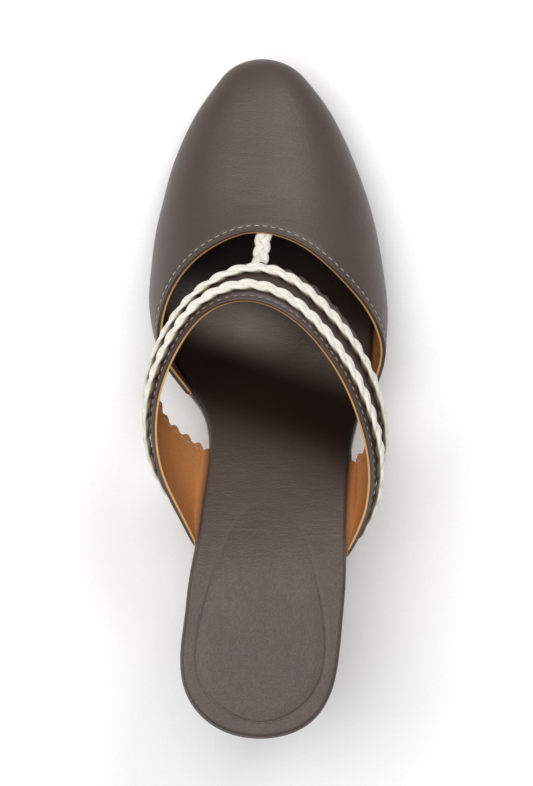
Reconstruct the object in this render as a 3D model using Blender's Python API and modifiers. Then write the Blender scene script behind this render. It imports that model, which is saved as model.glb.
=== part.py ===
# Block heel mule for the right foot, built as its real pieces, in metres.
# The origin lies on the floor, on the flat bottom of the heel's top lift.
# +Y runs to the toe, +X to the outer side of the foot and +Z up.

import math

import bmesh
import bpy
import numpy as np
from mathutils import Vector

# Driving sizes of the shoe

FOOTBED_LENGTH = 0.2324
SEAT_WIDTH = 0.0540
SEAT_BACK = 0.0278            # from the origin to the back of the seat
WAIST_WIDTH = 0.0487
BALL_WIDTH = 0.0752
HEEL_HEIGHT = 0.0620          # floor to the outsole, at the very back
SEAT_DROP = 0.0070            # how far the seat falls from the back to the breast
HEEL_BREAST_Y = 0.0200
FLAT_START_Y = 0.1280         # the tread touches the floor between these two
FLAT_END_Y = 0.1500
TOE_SPRING = 0.0060
OUTSOLE_THICKNESS = 0.0030
INSOLE_THICKNESS = 0.0045
INSOLE_EDGE_RADIUS = 0.0014
OUTSOLE_EDGE_BEVEL = 0.0006
UPPER_WALL = 0.0018
MARGIN_TUCK = 0.0080          # how far the upper is turned in under the insole
MARGIN_CLEARANCE = 0.0003
GAP = 0.0003
SKIN_GAP = 0.0004             # between a braid and the leather it lies on

VAMP_SIDE_BULGE = 0.0040
VAMP_WIDEST_HEIGHT = 0.0150
VAMP_RIDGE_HEIGHT = 0.0425    # ridge over the outsole at the throat's middle
STRAP_HALF_WIDTH = 0.0380     # inner side of the strap's back edge from the middle
STRAP_THROAT_GAP = 0.0118     # along the shoe, from the strap's reach to the throat
STRAP_HEIGHT = 0.0580         # floor to the strap's back edge at its middle
STRAP_ROUNDING = 0.0015       # how far the strap's middle stands out of its edges

SCALLOP_PITCH = 0.0053
SCALLOP_DEPTH = 0.0012
SCALLOP_POINTS = 3            # points to a scallop

BRAID_WIDTH = 0.0044
BRAID_HEIGHT = 0.0020
BRAID_PITCH = 0.0064
FRONT_BRAID_INSET = 0.0047    # middle of the braid from the strap's front edge
BACK_BRAID_PLACE = 0.71       # middle of the other braid, as a share across the strap
BRAID_SIDE_SHIFT = {-1: 0.0011, 1: 0.0022}     # both braids lie further back at the sides
BRAID_SHIFT_END = 0.35        # place round the strap where that is reached
CENTRE_BRAID_WIDTH = 0.0060
CENTRE_BRAID_HEIGHT = 0.0023
CENTRE_BRAID_PITCH = 0.0058
CENTRE_BRAID_TUCK = 0.0050    # hidden under the vamp and under the strap
CENTRE_BRAID_PLACE = 0.022    # how far round from the ridge, to the outer side

HEEL_TOP_INSET = 0.0010
HEEL_FOOT_BACK_Y = -0.0215
HEEL_FOOT_FRONT_Y = 0.0175
HEEL_FOOT_WIDTH = 0.0440
HEEL_CORNER = 0.0022
TOP_LIFT_THICKNESS = 0.0050

BACK_Y = -SEAT_BACK
TIP_Y = BACK_Y + FOOTBED_LENGTH
LEDGE = GAP + UPPER_WALL      # room for the upper outside the insole's edge

# Outline of the insole, a row per place along the footbed.
# Columns: share of the length, middle as a share of the ball width, width, the size
# that the width is a share of, and the outsole's ledge as a share of LEDGE.

OUTLINE_ROWS = (
    (0.000, 0.000, 0.000, SEAT_WIDTH, 0.1),
    (0.014, 0.000, 0.520, SEAT_WIDTH, 0.1),
    (0.037, -0.004, 0.766, SEAT_WIDTH, 0.1),
    (0.076, -0.007, 0.944, SEAT_WIDTH, 0.1),
    (0.133, 0.003, 1.005, SEAT_WIDTH, 0.1),
    (0.184, 0.021, 0.999, SEAT_WIDTH, 0.1),
    (0.236, 0.038, 0.988, SEAT_WIDTH, 0.1),
    (0.284, 0.056, 0.940, SEAT_WIDTH, 0.3),
    (0.335, 0.074, 1.016, WAIST_WIDTH, 1.0),
    (0.382, 0.094, 1.000, WAIST_WIDTH, 0.9),
    (0.417, 0.108, 1.010, WAIST_WIDTH, 0.2),
    (0.447, 0.118, 1.053, WAIST_WIDTH, 0.2),
    (0.477, 0.118, 0.750, BALL_WIDTH, 0.0),
    (0.507, 0.104, 0.834, BALL_WIDTH, 0.4),
    (0.542, 0.080, 0.918, BALL_WIDTH, 1.0),
    (0.584, 0.066, 0.971, BALL_WIDTH, 1.0),
    (0.640, 0.060, 1.000, BALL_WIDTH, 1.0),
    (0.696, 0.053, 0.977, BALL_WIDTH, 1.0),
    (0.748, 0.046, 0.933, BALL_WIDTH, 1.0),
    (0.796, 0.045, 0.860, BALL_WIDTH, 1.0),
    (0.843, 0.041, 0.769, BALL_WIDTH, 1.0),
    (0.885, 0.039, 0.668, BALL_WIDTH, 1.0),
    (0.928, 0.038, 0.538, BALL_WIDTH, 1.0),
    (0.967, 0.036, 0.370, BALL_WIDTH, 1.0),
    (0.989, 0.032, 0.240, BALL_WIDTH, 1.0),
    (1.000, 0.031, 0.000, BALL_WIDTH, 1.0),
)

# Sections of the vamp, a row per place along the footbed.
# Columns: share of the length, inner and outer bulge as shares of VAMP_SIDE_BULGE,
# inner and outer widest height as shares of VAMP_WIDEST_HEIGHT, ridge as a share of
# VAMP_RIDGE_HEIGHT and how far across the ridge lies, from the inner side.

VAMP_SECTIONS = (
    (0.482, 0.10, 0.20, 0.90, 0.90, 0.90, 0.370),
    (0.517, 0.20, 0.45, 0.95, 0.93, 0.97, 0.365),
    (0.562, 0.48, 0.60, 1.00, 0.95, 1.04, 0.365),
    (0.603, 0.60, 0.62, 0.93, 0.93, 1.08, 0.370),
    (0.649, 0.65, 0.58, 0.83, 0.86, 1.08, 0.375),
    (0.705, 0.53, 0.58, 0.77, 0.80, 1.01, 0.410),
    (0.761, 0.44, 0.58, 0.73, 0.77, 0.88, 0.450),
    (0.830, 0.52, 0.55, 0.70, 0.73, 0.745, 0.480),
    (0.894, 0.50, 0.50, 0.67, 0.67, 0.615, 0.500),
    (0.950, 0.45, 0.45, 0.60, 0.60, 0.485, 0.500),
    (0.984, 0.46, 0.46, 0.57, 0.57, 0.370, 0.500),
    (1.000, 0.56, 0.56, 0.53, 0.53, 0.188, 0.500),
)

# Front and back edge of the instep strap, a row per place round it, inner side first.
# Columns: place round, then front edge and back edge, each as a share of
# STRAP_HALF_WIDTH across, of the strap's reach ahead of its outer base's back end and of
# STRAP_HEIGHT up.

STRAP_ROWS = (
    (-1.00, -0.490, 0.356, 0.550, -0.615, 0.040, 0.880),
    (-0.84, -0.680, 0.415, 0.575, -0.745, 0.158, 0.955),
    (-0.68, -0.845, 0.467, 0.605, -0.905, 0.288, 1.005),
    (-0.52, -0.940, 0.549, 0.645, -0.975, 0.440, 1.035),
    (-0.38, -0.925, 0.668, 0.690, -0.925, 0.586, 1.045),
    (-0.25, -0.775, 0.807, 0.745, -0.770, 0.722, 1.035),
    (-0.12, -0.475, 0.940, 0.795, -0.500, 0.843, 1.012),
    (0.00, -0.070, 1.010, 0.815, -0.120, 0.886, 1.000),
    (0.12, 0.320, 0.978, 0.805, 0.250, 0.838, 1.010),
    (0.25, 0.650, 0.886, 0.775, 0.555, 0.733, 1.030),
    (0.38, 0.905, 0.760, 0.730, 0.800, 0.594, 1.048),
    (0.52, 1.070, 0.615, 0.680, 0.970, 0.422, 1.045),
    (0.68, 1.115, 0.475, 0.630, 1.025, 0.263, 1.010),
    (0.84, 1.020, 0.373, 0.600, 0.960, 0.117, 0.950),
    (1.00, 0.890, 0.314, 0.590, 0.830, 0.000, 0.890),
)

# Where the strap's two bases lie on the feather edge, as shares of the footbed's length:
# the inner base's front and back, then the outer base's front and back.

STRAP_BASES = {
    -1: (0.411, 0.275),
    1: (0.395, 0.258),
}
STRAP_TURN_DOWN = 0.76        # place round the strap where it turns down into its bases
ROUNDING_FADE = 4             # power by which the strap's rounding fades towards its bases

# The vamp's throat, drawn on its surface. Columns: how far round from the ridge, with
# the inner side minus, and share of the footbed's length.

THROAT_EDGE = (
    (-1.00, 0.500),
    (-0.85, 0.522),
    (-0.70, 0.544),
    (-0.62, 0.558),
    (-0.54, 0.582),
    (-0.48, 0.603),
    (-0.40, 0.637),
    (-0.32, 0.675),
    (-0.24, 0.705),
    (-0.15, 0.728),
    (-0.07, 0.742),
    (0.00, 0.747),
    (0.08, 0.740),
    (0.16, 0.723),
    (0.24, 0.696),
    (0.32, 0.665),
    (0.40, 0.632),
    (0.48, 0.599),
    (0.54, 0.577),
    (0.62, 0.552),
    (0.72, 0.534),
    (0.86, 0.510),
    (1.00, 0.486),
)

WIDEST_TURN = 0.62            # where round the section the widest place lies
ROUNDNESS = 2.15              # power of the curve from the widest place to the ridge

# Where the insole's underside is cut away for the upper's turned-in margin.
# Columns: share of the length and share of the full depth.

RABBET_DEPTH = (
    (0.000, 0.0),
    (0.235, 0.0),
    (0.247, 1.0),
    (0.432, 1.0),
    (0.442, 0.0),
    (0.468, 0.0),
    (0.478, 1.0),
    (1.000, 1.0),
)

# Section of a plait, a point per row. Columns: share of half the width sideways and what
# a lobe adds to it, share of the height and what a lobe adds to it, and the row of lobes
# that the point belongs to, or 0.

PLAIT_SECTION = (
    (-0.80, 0.00, 0.00, 0.00, 0),
    (0.80, 0.00, 0.00, 0.00, 0),
    (0.78, 0.22, 0.30, 0.20, 1),
    (0.50, 0.00, 0.66, 0.34, 1),
    (0.00, 0.00, 0.62, 0.00, 0),
    (-0.50, 0.00, 0.66, 0.34, -1),
    (-0.78, -0.22, 0.30, 0.20, -1),
)
PLAIT_STATIONS = 4            # sections to a lobe

# Colour, roughness and metallic of each material

MATERIALS = {
    "taupe_leather": ((0.145, 0.115, 0.102), 0.50, 0.0),
    "footbed_leather": ((0.120, 0.096, 0.086), 0.58, 0.0),
    "cotton_braid": ((0.800, 0.762, 0.680), 0.85, 0.0),
    "heel_cover": ((0.145, 0.115, 0.102), 0.48, 0.0),
    "leather_outsole": ((0.280, 0.165, 0.085), 0.55, 0.0),
    "rubber_lift": ((0.035, 0.031, 0.029), 0.75, 0.0),
}

STRAP_VALLEY_ROW = 0.07       # first row behind the scallops, as a share across
STRAP_STRIPS = 4              # strips of faces behind that row
VAMP_STRIPS = 22              # strips of faces from the throat to the toe
VAMP_TOP_STEPS = 8            # points on each side, ridge to widest place
VAMP_SIDE_STEPS = 4           # points on each side, widest place to feather
OUTSOLE_STEPS = 44
INSOLE_STEPS = 48
HEEL_SEAT_STEPS = 9
HEEL_LEVELS = 6
HEEL_FLARE = 1.6              # power by which the heel spreads towards the seat
MEASURING_STEPS = 24
BRAID_END = 0.94              # place round the strap where its braids end
STEP = 0.0001                 # small step for slopes and normals, as a share
WALK_STEP = 0.0016            # longest stride of a walk over a surface
MERGE = 0.00001               # points nearer than this are one point


def clear_scene():
    for thing in list(bpy.data.objects):
        bpy.data.objects.remove(thing, do_unlink=True)


def make_material(name):
    colour, roughness, metallic = MATERIALS[name]
    material = bpy.data.materials.new(name)
    material.use_nodes = True
    shader = material.node_tree.nodes["Principled BSDF"]
    shader.inputs["Base Color"].default_value = (*colour, 1.0)
    shader.inputs["Roughness"].default_value = roughness
    shader.inputs["Metallic"].default_value = metallic
    return material


def smooth_curve(places, values):
    """A natural cubic spline through the rows."""
    xs = np.asarray(places, float)
    ys = np.asarray(values, float)
    count = len(xs)
    widths = np.diff(xs)
    matrix = np.eye(count)
    right = np.zeros(count)
    for i in range(1, count - 1):
        matrix[i, i - 1] = widths[i - 1]
        matrix[i, i] = 2 * (widths[i - 1] + widths[i])
        matrix[i, i + 1] = widths[i]
        rise_after = (ys[i + 1] - ys[i]) / widths[i]
        rise_before = (ys[i] - ys[i - 1]) / widths[i - 1]
        right[i] = 6 * (rise_after - rise_before)
    bends = np.linalg.solve(matrix, right)

    def value_at(place):
        i = int(min(max(np.searchsorted(xs, place) - 1, 0), count - 2))
        width = widths[i]
        to_next = xs[i + 1] - place
        from_last = place - xs[i]
        curved = (bends[i] * to_next**3 + bends[i + 1] * from_last**3) / (6 * width)
        start = (ys[i] / width - bends[i] * width / 6) * to_next
        end = (ys[i + 1] / width - bends[i + 1] * width / 6) * from_last
        return float(curved + start + end)

    return value_at


def clamp(value, low, high):
    return min(max(value, low), high)


# Places along the shoe are kept as a turn from 0 at the back to 1 at the toe, so
# that the outline rounds both ends.

def turn_of_share(share):
    return math.acos(1 - 2 * clamp(share, 0.0, 1.0)) / math.pi


def y_of_turn(turn):
    return BACK_Y + FOOTBED_LENGTH * (1 - math.cos(math.pi * turn)) / 2


def turn_of_y(y):
    return turn_of_share((y - BACK_Y) / FOOTBED_LENGTH)


OUTLINE_TURNS = [turn_of_share(row[0]) for row in OUTLINE_ROWS]
outline_middle = smooth_curve(OUTLINE_TURNS, [row[1] * BALL_WIDTH for row in OUTLINE_ROWS])
outline_width = smooth_curve(OUTLINE_TURNS, [row[2] * row[3] for row in OUTLINE_ROWS])
LEDGE_VALUES = [row[4] * LEDGE for row in OUTLINE_ROWS]


def ledge_at(turn):
    return float(np.interp(turn, OUTLINE_TURNS, LEDGE_VALUES))


def outline_point(turn, side):
    return np.array([outline_middle(turn) + side * outline_width(turn) / 2, y_of_turn(turn)])


def outward_of(turn, side):
    """The direction straight out of the outline, seen from above."""
    if turn < STEP:
        return np.array([0.0, -1.0])
    if turn > 1 - STEP:
        return np.array([0.0, 1.0])
    along = outline_point(turn + STEP, side) - outline_point(turn - STEP, side)
    outward = np.array([along[1], -along[0]]) * side
    return outward / np.linalg.norm(outward)


def inset_point(turn, side, inset):
    return outline_point(turn, side) - outward_of(turn, side) * inset


def sole_height(y):
    """Height of the outsole's underside along the shoe."""
    breast_height = HEEL_HEIGHT - SEAT_DROP
    seat_slope = SEAT_DROP / (HEEL_BREAST_Y - BACK_Y)
    if y > FLAT_END_Y:
        return TOE_SPRING * ((y - FLAT_END_Y) / (TIP_Y - FLAT_END_Y)) ** 2
    if y > FLAT_START_Y:
        return 0.0
    if y < HEEL_BREAST_Y:
        return breast_height - (y - HEEL_BREAST_Y) * seat_slope
    run = FLAT_START_Y - HEEL_BREAST_Y
    part = (FLAT_START_Y - y) / run
    rise = breast_height * (3 * part**2 - 2 * part**3)
    return rise + seat_slope * run * (part**3 - part**2)


def over_sole(x, y, height):
    """A point at a height measured square to the outsole's underside."""
    reach = FOOTBED_LENGTH * STEP
    slope = (sole_height(y + reach) - sole_height(y - reach)) / (2 * reach)
    length = math.hypot(1, slope)
    return np.array([x, y - height * slope / length, sole_height(y) + height / length])


VAMP_TURNS = [turn_of_share(row[0]) for row in VAMP_SECTIONS]


def vamp_column(column, size):
    return smooth_curve(VAMP_TURNS, [row[column] * size for row in VAMP_SECTIONS])


vamp_bulge = {-1: vamp_column(1, VAMP_SIDE_BULGE), 1: vamp_column(2, VAMP_SIDE_BULGE)}
vamp_height = {-1: vamp_column(3, VAMP_WIDEST_HEIGHT), 1: vamp_column(4, VAMP_WIDEST_HEIGHT)}
vamp_ridge = vamp_column(5, VAMP_RIDGE_HEIGHT)
vamp_lean = vamp_column(6, 1.0)
throat_turn = smooth_curve(
    [row[0] for row in THROAT_EDGE], [turn_of_share(row[1]) for row in THROAT_EDGE])


def feather_point(turn, side):
    """Where the upper's outside meets the top of the outsole."""
    x, y = inset_point(turn, side, -LEDGE)
    return over_sole(x, y, OUTSOLE_THICKNESS + GAP)


def widest_point(turn, side):
    outward = outward_of(turn, side)
    direction = np.array([outward[0], max(outward[1], 0.0)])
    direction /= np.linalg.norm(direction)
    offset = np.array([*(direction * vamp_bulge[side](turn)), vamp_height[side](turn)])
    return feather_point(turn, side) + offset


def vamp_point(turn, around):
    """The vamp's outside: around runs from -1 at the inner feather to 1 at the outer."""
    side = -1 if around < 0 else 1
    reach = abs(around)
    feather = feather_point(turn, side)
    widest = widest_point(turn, side)
    if reach > WIDEST_TURN:
        rise = (1 - reach) / (1 - WIDEST_TURN)
        out = 1 - (1 - rise) ** 2
        x, y = feather[:2] + (widest[:2] - feather[:2]) * out
        return np.array([x, y, feather[2] + (widest[2] - feather[2]) * rise])
    inner = widest_point(turn, -1)
    outer = widest_point(turn, 1)
    ridge = inner + (outer - inner) * vamp_lean(turn)
    base = (feather_point(turn, -1)[2] + feather_point(turn, 1)[2]) / 2
    angle = math.pi / 2 * (WIDEST_TURN - reach) / WIDEST_TURN
    across = math.cos(angle) ** (2 / ROUNDNESS)
    up = math.sin(angle) ** (2 / ROUNDNESS)
    x, y = ridge[:2] + (widest[:2] - ridge[:2]) * across
    return np.array([x, y, widest[2] + (base + vamp_ridge(turn) - widest[2]) * up])


# The strap reaches from the back end of its outer base to just behind the throat.

STRAP_PLACES = [row[0] for row in STRAP_ROWS]
STRAP_BASE_Y = BACK_Y + FOOTBED_LENGTH * STRAP_BASES[1][1]
STRAP_REACH = y_of_turn(throat_turn(0.0)) - STRAP_THROAT_GAP - STRAP_BASE_Y


def strap_edge(columns):
    sizes = (STRAP_HALF_WIDTH, STRAP_REACH, STRAP_HEIGHT)
    starts = (0.0, STRAP_BASE_Y, 0.0)
    curves = []
    for column, size, start in zip(columns, sizes, starts):
        curves.append(smooth_curve(STRAP_PLACES, [start + row[column] * size for row in STRAP_ROWS]))
    return lambda around: np.array([curve(around) for curve in curves])


strap_front = strap_edge((1, 2, 3))
strap_back = strap_edge((4, 5, 6))


def band_point(across, around):
    """The strap as a flat band, front edge at 0 to back edge at 1, and what rounds it."""
    front = strap_front(around)
    back = strap_back(around)
    middle_before = (strap_front(around - STEP) + strap_back(around - STEP)) / 2
    middle_after = (strap_front(around + STEP) + strap_back(around + STEP)) / 2
    outward = np.cross(middle_after - middle_before, front - back)
    outward /= np.linalg.norm(outward)
    return front + (back - front) * across, outward * STRAP_ROUNDING * 4 * across * (1 - across)


def strap_base_point(across, side):
    front, back = STRAP_BASES[side]
    return feather_point(turn_of_share(front + (back - front) * across), side)


def strap_point(across, around):
    """The strap's outside, turned down into its two bases on the feather edge."""
    side = -1 if around < 0 else 1
    point, rounding = band_point(across, around)
    near_base = clamp((abs(around) - STRAP_TURN_DOWN) / (1 - STRAP_TURN_DOWN), 0.0, 1.0)
    if near_base == 0:
        return point + rounding
    share = near_base**2 * (3 - 2 * near_base)
    to_base = strap_base_point(across, side) - point
    return point + to_base * share + rounding * (1 - near_base**ROUNDING_FADE)


def surface_slopes(surface, u, v):
    """Change of a surface per unit of each of its two places."""
    by_u = (surface(u + STEP, v) - surface(u - STEP, v)) / (2 * STEP)
    by_v = (surface(u, v + STEP) - surface(u, v - STEP)) / (2 * STEP)
    return by_u, by_v


def surface_normal(surface, u, v):
    """Outward normal, with u along the shoe or across the strap and v round it."""
    by_u, by_v = surface_slopes(surface, u, v)
    normal = np.cross(by_v, by_u)
    if surface is strap_point:
        normal = -normal
    return normal / np.linalg.norm(normal)


def walk(surface, u, v, direction, distance):
    """Walk over a surface, starting in a direction, and give the place reached."""
    normal = surface_normal(surface, u, v)
    heading = direction - normal * np.dot(direction, normal)
    heading /= np.linalg.norm(heading)
    steps = max(1, round(abs(distance) / WALK_STEP))
    for _ in range(steps):
        slopes = np.stack(surface_slopes(surface, u, v), axis=1)
        change = np.linalg.lstsq(slopes, heading * distance / steps, rcond=None)[0]
        u += float(change[0])
        v += float(change[1])
        normal = surface_normal(surface, u, v)
        heading = heading - normal * np.dot(heading, normal)
        heading /= np.linalg.norm(heading)
    return u, v


def strap_inset(edge, around, inset):
    """The place on the strap at a distance in from its front (0) or back (1) edge."""
    along = strap_point(edge, around + STEP) - strap_point(edge, around - STEP)
    square = np.cross(surface_normal(strap_point, edge, around), along)
    if np.dot(square, strap_point(1 - edge, around) - strap_point(edge, around)) < 0:
        square = -square
    return walk(strap_point, edge, around, square, inset)


def link_solid(name, mesh, material, smooth_angle):
    solid = bpy.data.objects.new(name, mesh)
    SHOE.objects.link(solid)
    mesh.materials.append(material)
    bpy.context.view_layer.objects.active = solid
    solid.select_set(True)
    bpy.ops.object.shade_smooth_by_angle(angle=smooth_angle)
    solid.select_set(False)
    return solid


def finish_mesh(name, form):
    bmesh.ops.remove_doubles(form, verts=form.verts, dist=MERGE)
    bmesh.ops.recalc_face_normals(form, faces=form.faces)
    mesh = bpy.data.meshes.new(name)
    form.to_mesh(mesh)
    form.free()
    return mesh


def bridge_rows(form, rows, closed):
    """Faces between rows of points; a closed row also joins its ends."""
    vertices = [[form.verts.new(Vector(point)) for point in row] for row in rows]
    count = len(rows[0])
    last = count if closed else count - 1
    for near, far in zip(vertices, vertices[1:]):
        for i in range(last):
            j = (i + 1) % count
            form.faces.new((near[i], near[j], far[j], far[i]))
    return vertices


def loft_solid(name, rings, material, smooth_angle):
    form = bmesh.new()
    vertices = bridge_rows(form, rings, closed=True)
    form.faces.new(vertices[0])
    form.faces.new(list(reversed(vertices[-1])))
    return link_solid(name, finish_mesh(name, form), material, smooth_angle)


def wall_solid(name, rows, material):
    """An open surface of rows, thickened inward to the upper's wall."""
    form = bmesh.new()
    bridge_rows(form, rows, closed=False)
    bmesh.ops.remove_doubles(form, verts=form.verts, dist=MERGE)
    bmesh.ops.recalc_face_normals(form, faces=form.faces)
    top_face = max(form.faces, key=lambda face: face.calc_center_median().z)
    if top_face.normal.z < 0:
        bmesh.ops.reverse_faces(form, faces=form.faces)
    mesh = bpy.data.meshes.new(name)
    form.to_mesh(mesh)
    form.free()
    solid = link_solid(name, mesh, material, math.radians(50))
    thickness = solid.modifiers.new("wall", "SOLIDIFY")
    thickness.thickness = UPPER_WALL
    thickness.offset = -1.0
    thickness.use_even_offset = True
    thickness.use_quality_normals = True
    return solid


# Outsole and insole

def arc_profile(inset, top, radius, steps):
    """Corner of a profile, from its flat top round to its side."""
    points = []
    for step in range(steps + 1):
        angle = math.pi / 2 * step / steps
        points.append((inset + radius * (1 - math.sin(angle)), top - radius * (1 - math.cos(angle))))
    return points


def sole_layer(name, turns, profile_of, material):
    """A layer of the sole, ringed over its top, down the outer side and back below."""
    rings = []
    for turn in turns:
        profile = profile_of(turn)
        inner = [(*inset_point(turn, -1, inset), height) for inset, height in profile]
        outer = [(*inset_point(turn, 1, inset), height) for inset, height in profile]
        top_middle = np.add(inner[0], outer[0]) / 2
        bottom_middle = np.add(inner[-1], outer[-1]) / 2
        loop = [top_middle, *outer, bottom_middle, *reversed(inner)]
        rings.append([over_sole(*point) for point in loop])
    form = bmesh.new()
    bridge_rows(form, rings, closed=True)
    return link_solid(name, finish_mesh(name, form), material, math.radians(40))


def sole_turns(count, places):
    turns = {round(step / count, 6) for step in range(count + 1)}
    for place in places:
        exact = round(turn_of_share(place), 6)
        near = {turn for turn in turns if abs(turn - exact) < 0.25 / count and 0 < turn < 1}
        turns = (turns - near) | {exact}
    return sorted(turns)


def build_outsole(material):
    def profile_of(turn):
        edge = -ledge_at(turn)
        bevel = OUTSOLE_EDGE_BEVEL
        return (
            (edge + bevel, OUTSOLE_THICKNESS),
            (edge, OUTSOLE_THICKNESS - bevel),
            (edge, bevel),
            (edge + bevel, 0.0),
        )
    flat_shares = [(y - BACK_Y) / FOOTBED_LENGTH for y in (FLAT_START_Y, FLAT_END_Y)]
    return sole_layer("outsole", sole_turns(OUTSOLE_STEPS, flat_shares), profile_of, material)


def build_insole(material):
    bottom = OUTSOLE_THICKNESS + GAP
    top = bottom + INSOLE_THICKNESS
    depth = UPPER_WALL + MARGIN_CLEARANCE
    reach = MARGIN_TUCK - LEDGE + 2 * MARGIN_CLEARANCE
    depth_turns = [turn_of_share(row[0]) for row in RABBET_DEPTH]
    depth_values = [row[1] * depth for row in RABBET_DEPTH]

    def profile_of(turn):
        under = bottom + float(np.interp(turn, depth_turns, depth_values))
        corner = arc_profile(0.0, top, INSOLE_EDGE_RADIUS, 3)
        return [*corner, (0.0, under), (reach, under), (reach, bottom)]

    places = [row[0] for row in RABBET_DEPTH[1:-1]]
    return sole_layer("insole", sole_turns(INSOLE_STEPS, places), profile_of, material)


# Upper

def margin_point(turn, side, tuck):
    x, y = inset_point(turn, side, tuck - LEDGE)
    return over_sole(x, y, OUTSOLE_THICKNESS + GAP)


def wall_row(points, inner_turn, outer_turn):
    """One row over the upper, with its turned-in margins at both ends."""
    row = [margin_point(inner_turn, -1, tuck) for tuck in (MARGIN_TUCK, MARGIN_TUCK / 2)]
    row.extend(points)
    row.extend(margin_point(outer_turn, 1, tuck) for tuck in (MARGIN_TUCK / 2, MARGIN_TUCK))
    return row


def build_vamp(material):
    half = list(np.linspace(0.0, WIDEST_TURN, VAMP_TOP_STEPS + 1))
    half += list(np.linspace(WIDEST_TURN, 1.0, VAMP_SIDE_STEPS + 1))[1:]
    arounds = [-around for around in reversed(half[1:])] + half
    rows = []
    for step in range(VAMP_STRIPS + 1):
        part = step / VAMP_STRIPS
        turns = [throat_turn(around) * (1 - part) + part for around in arounds]
        points = [vamp_point(turn, around) for turn, around in zip(turns, arounds)]
        rows.append(wall_row(points, turns[0], turns[-1]))
    return wall_solid("vamp", rows, material)


def evenly_round_strap(edge, count, last):
    """Places round the strap that are equally far apart along one of its edges."""
    fine = np.linspace(-last, last, 8 * count + 1)
    points = np.array([strap_point(edge, around) for around in fine])
    lengths = np.concatenate([[0.0], np.cumsum(np.linalg.norm(np.diff(points, axis=0), axis=1))])
    places = np.interp(np.linspace(0.0, lengths[-1], count + 1), lengths, fine)
    return [float(place) for place in places], float(lengths[-1])


def build_instep_strap(material):
    length = evenly_round_strap(0.0, MEASURING_STEPS, 1.0)[1]
    scallops = max(1, round(length / SCALLOP_PITCH))
    arounds = evenly_round_strap(0.0, scallops * SCALLOP_POINTS, 1.0)[0]
    tips = []
    for i, around in enumerate(arounds):
        depth = SCALLOP_DEPTH * abs(math.sin(math.pi * i / SCALLOP_POINTS))
        outward = strap_point(0.0, around) - strap_point(STRAP_VALLEY_ROW, around)
        outward /= np.linalg.norm(outward)
        tips.append(strap_point(0.0, around) + outward * depth)
    rows = [wall_row(tips, *(turn_of_share(STRAP_BASES[side][0]) for side in (-1, 1)))]
    for step in range(STRAP_STRIPS + 1):
        across = STRAP_VALLEY_ROW + (1 - STRAP_VALLEY_ROW) * step / STRAP_STRIPS
        points = [strap_point(across, around) for around in arounds]
        ends = []
        for side in (-1, 1):
            front, back = STRAP_BASES[side]
            ends.append(turn_of_share(front + (back - front) * across))
        rows.append(wall_row(points, *ends))
    return wall_solid("instep_strap", rows, material)


# Braids: one solid each, with two rows of raised lobes that alternate

def plait_ring(centre, across, up, width, height, phase):
    lobes = {-1: abs(math.sin(math.pi * phase)), 0: 0.0, 1: abs(math.cos(math.pi * phase))}
    points = []
    for sideways, more_sideways, high, more_high, lobe in PLAIT_SECTION:
        sideways_share = sideways + more_sideways * lobes[lobe]
        high_share = high + more_high * lobes[lobe]
        points.append(centre + across * sideways_share * width / 2 + up * high_share * height)
    return points


def plait_solid(name, centres, ups, width, height, material):
    rings = []
    for i, centre in enumerate(centres):
        before = centres[max(i - 1, 0)]
        after = centres[min(i + 1, len(centres) - 1)]
        along = after - before
        across = np.cross(along, ups[i])
        across /= np.linalg.norm(across)
        rings.append(plait_ring(centre, across, ups[i], width, height, i / PLAIT_STATIONS))
    return loft_solid(name, rings, material, math.radians(35))


def build_strap_braid(name, line, inset, backward, material):
    """A braid at a distance in from a line across the strap, whose front edge is 0."""
    length = evenly_round_strap(line, MEASURING_STEPS, BRAID_END)[1]
    count = max(1, round(length / BRAID_PITCH)) * PLAIT_STATIONS
    centres = []
    ups = []
    for around in evenly_round_strap(line, count, BRAID_END)[0]:
        part = min(abs(around) / BRAID_SHIFT_END, 1.0)
        side_shift = backward * BRAID_SIDE_SHIFT[-1 if around < 0 else 1]
        shift = side_shift * part**2 * (3 - 2 * part)
        across, place = strap_inset(line, around, inset + shift)
        if abs(place) > BRAID_END:
            continue
        normal = surface_normal(strap_point, across, place)
        centres.append(strap_point(across, place) + normal * SKIN_GAP)
        ups.append(normal)
    return plait_solid(name, centres, ups, BRAID_WIDTH, BRAID_HEIGHT, material)


def build_centre_braid(material):
    """Runs from under the vamp's throat to under the strap's front edge."""
    around = CENTRE_BRAID_PLACE
    throat_y = y_of_turn(throat_turn(around))
    strap_y = float(strap_front(around)[1])
    start = throat_y + CENTRE_BRAID_TUCK
    end = strap_y - CENTRE_BRAID_TUCK
    count = max(1, round((start - end) / CENTRE_BRAID_PITCH)) * PLAIT_STATIONS
    centres = []
    ups = []
    for step in range(count + 1):
        y = start + (end - start) * step / count
        turn = turn_of_y(y)
        share = clamp((throat_y - y) / (throat_y - strap_y), 0.0, 1.0)
        vamp = vamp_point(turn, around)
        across = (strap_y - y) / (strap_y - float(strap_back(around)[1]))
        strap = strap_point(across, around)
        up = surface_normal(vamp_point, turn, around) * (1 - share)
        up = up + surface_normal(strap_point, across, around) * share
        up /= np.linalg.norm(up)
        depth = UPPER_WALL + SKIN_GAP + CENTRE_BRAID_HEIGHT
        centres.append(vamp * (1 - share) + strap * share - up * depth)
        ups.append(up)
    return plait_solid(
        "centre_braid", centres, ups, CENTRE_BRAID_WIDTH, CENTRE_BRAID_HEIGHT, material)


# Heel

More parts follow.
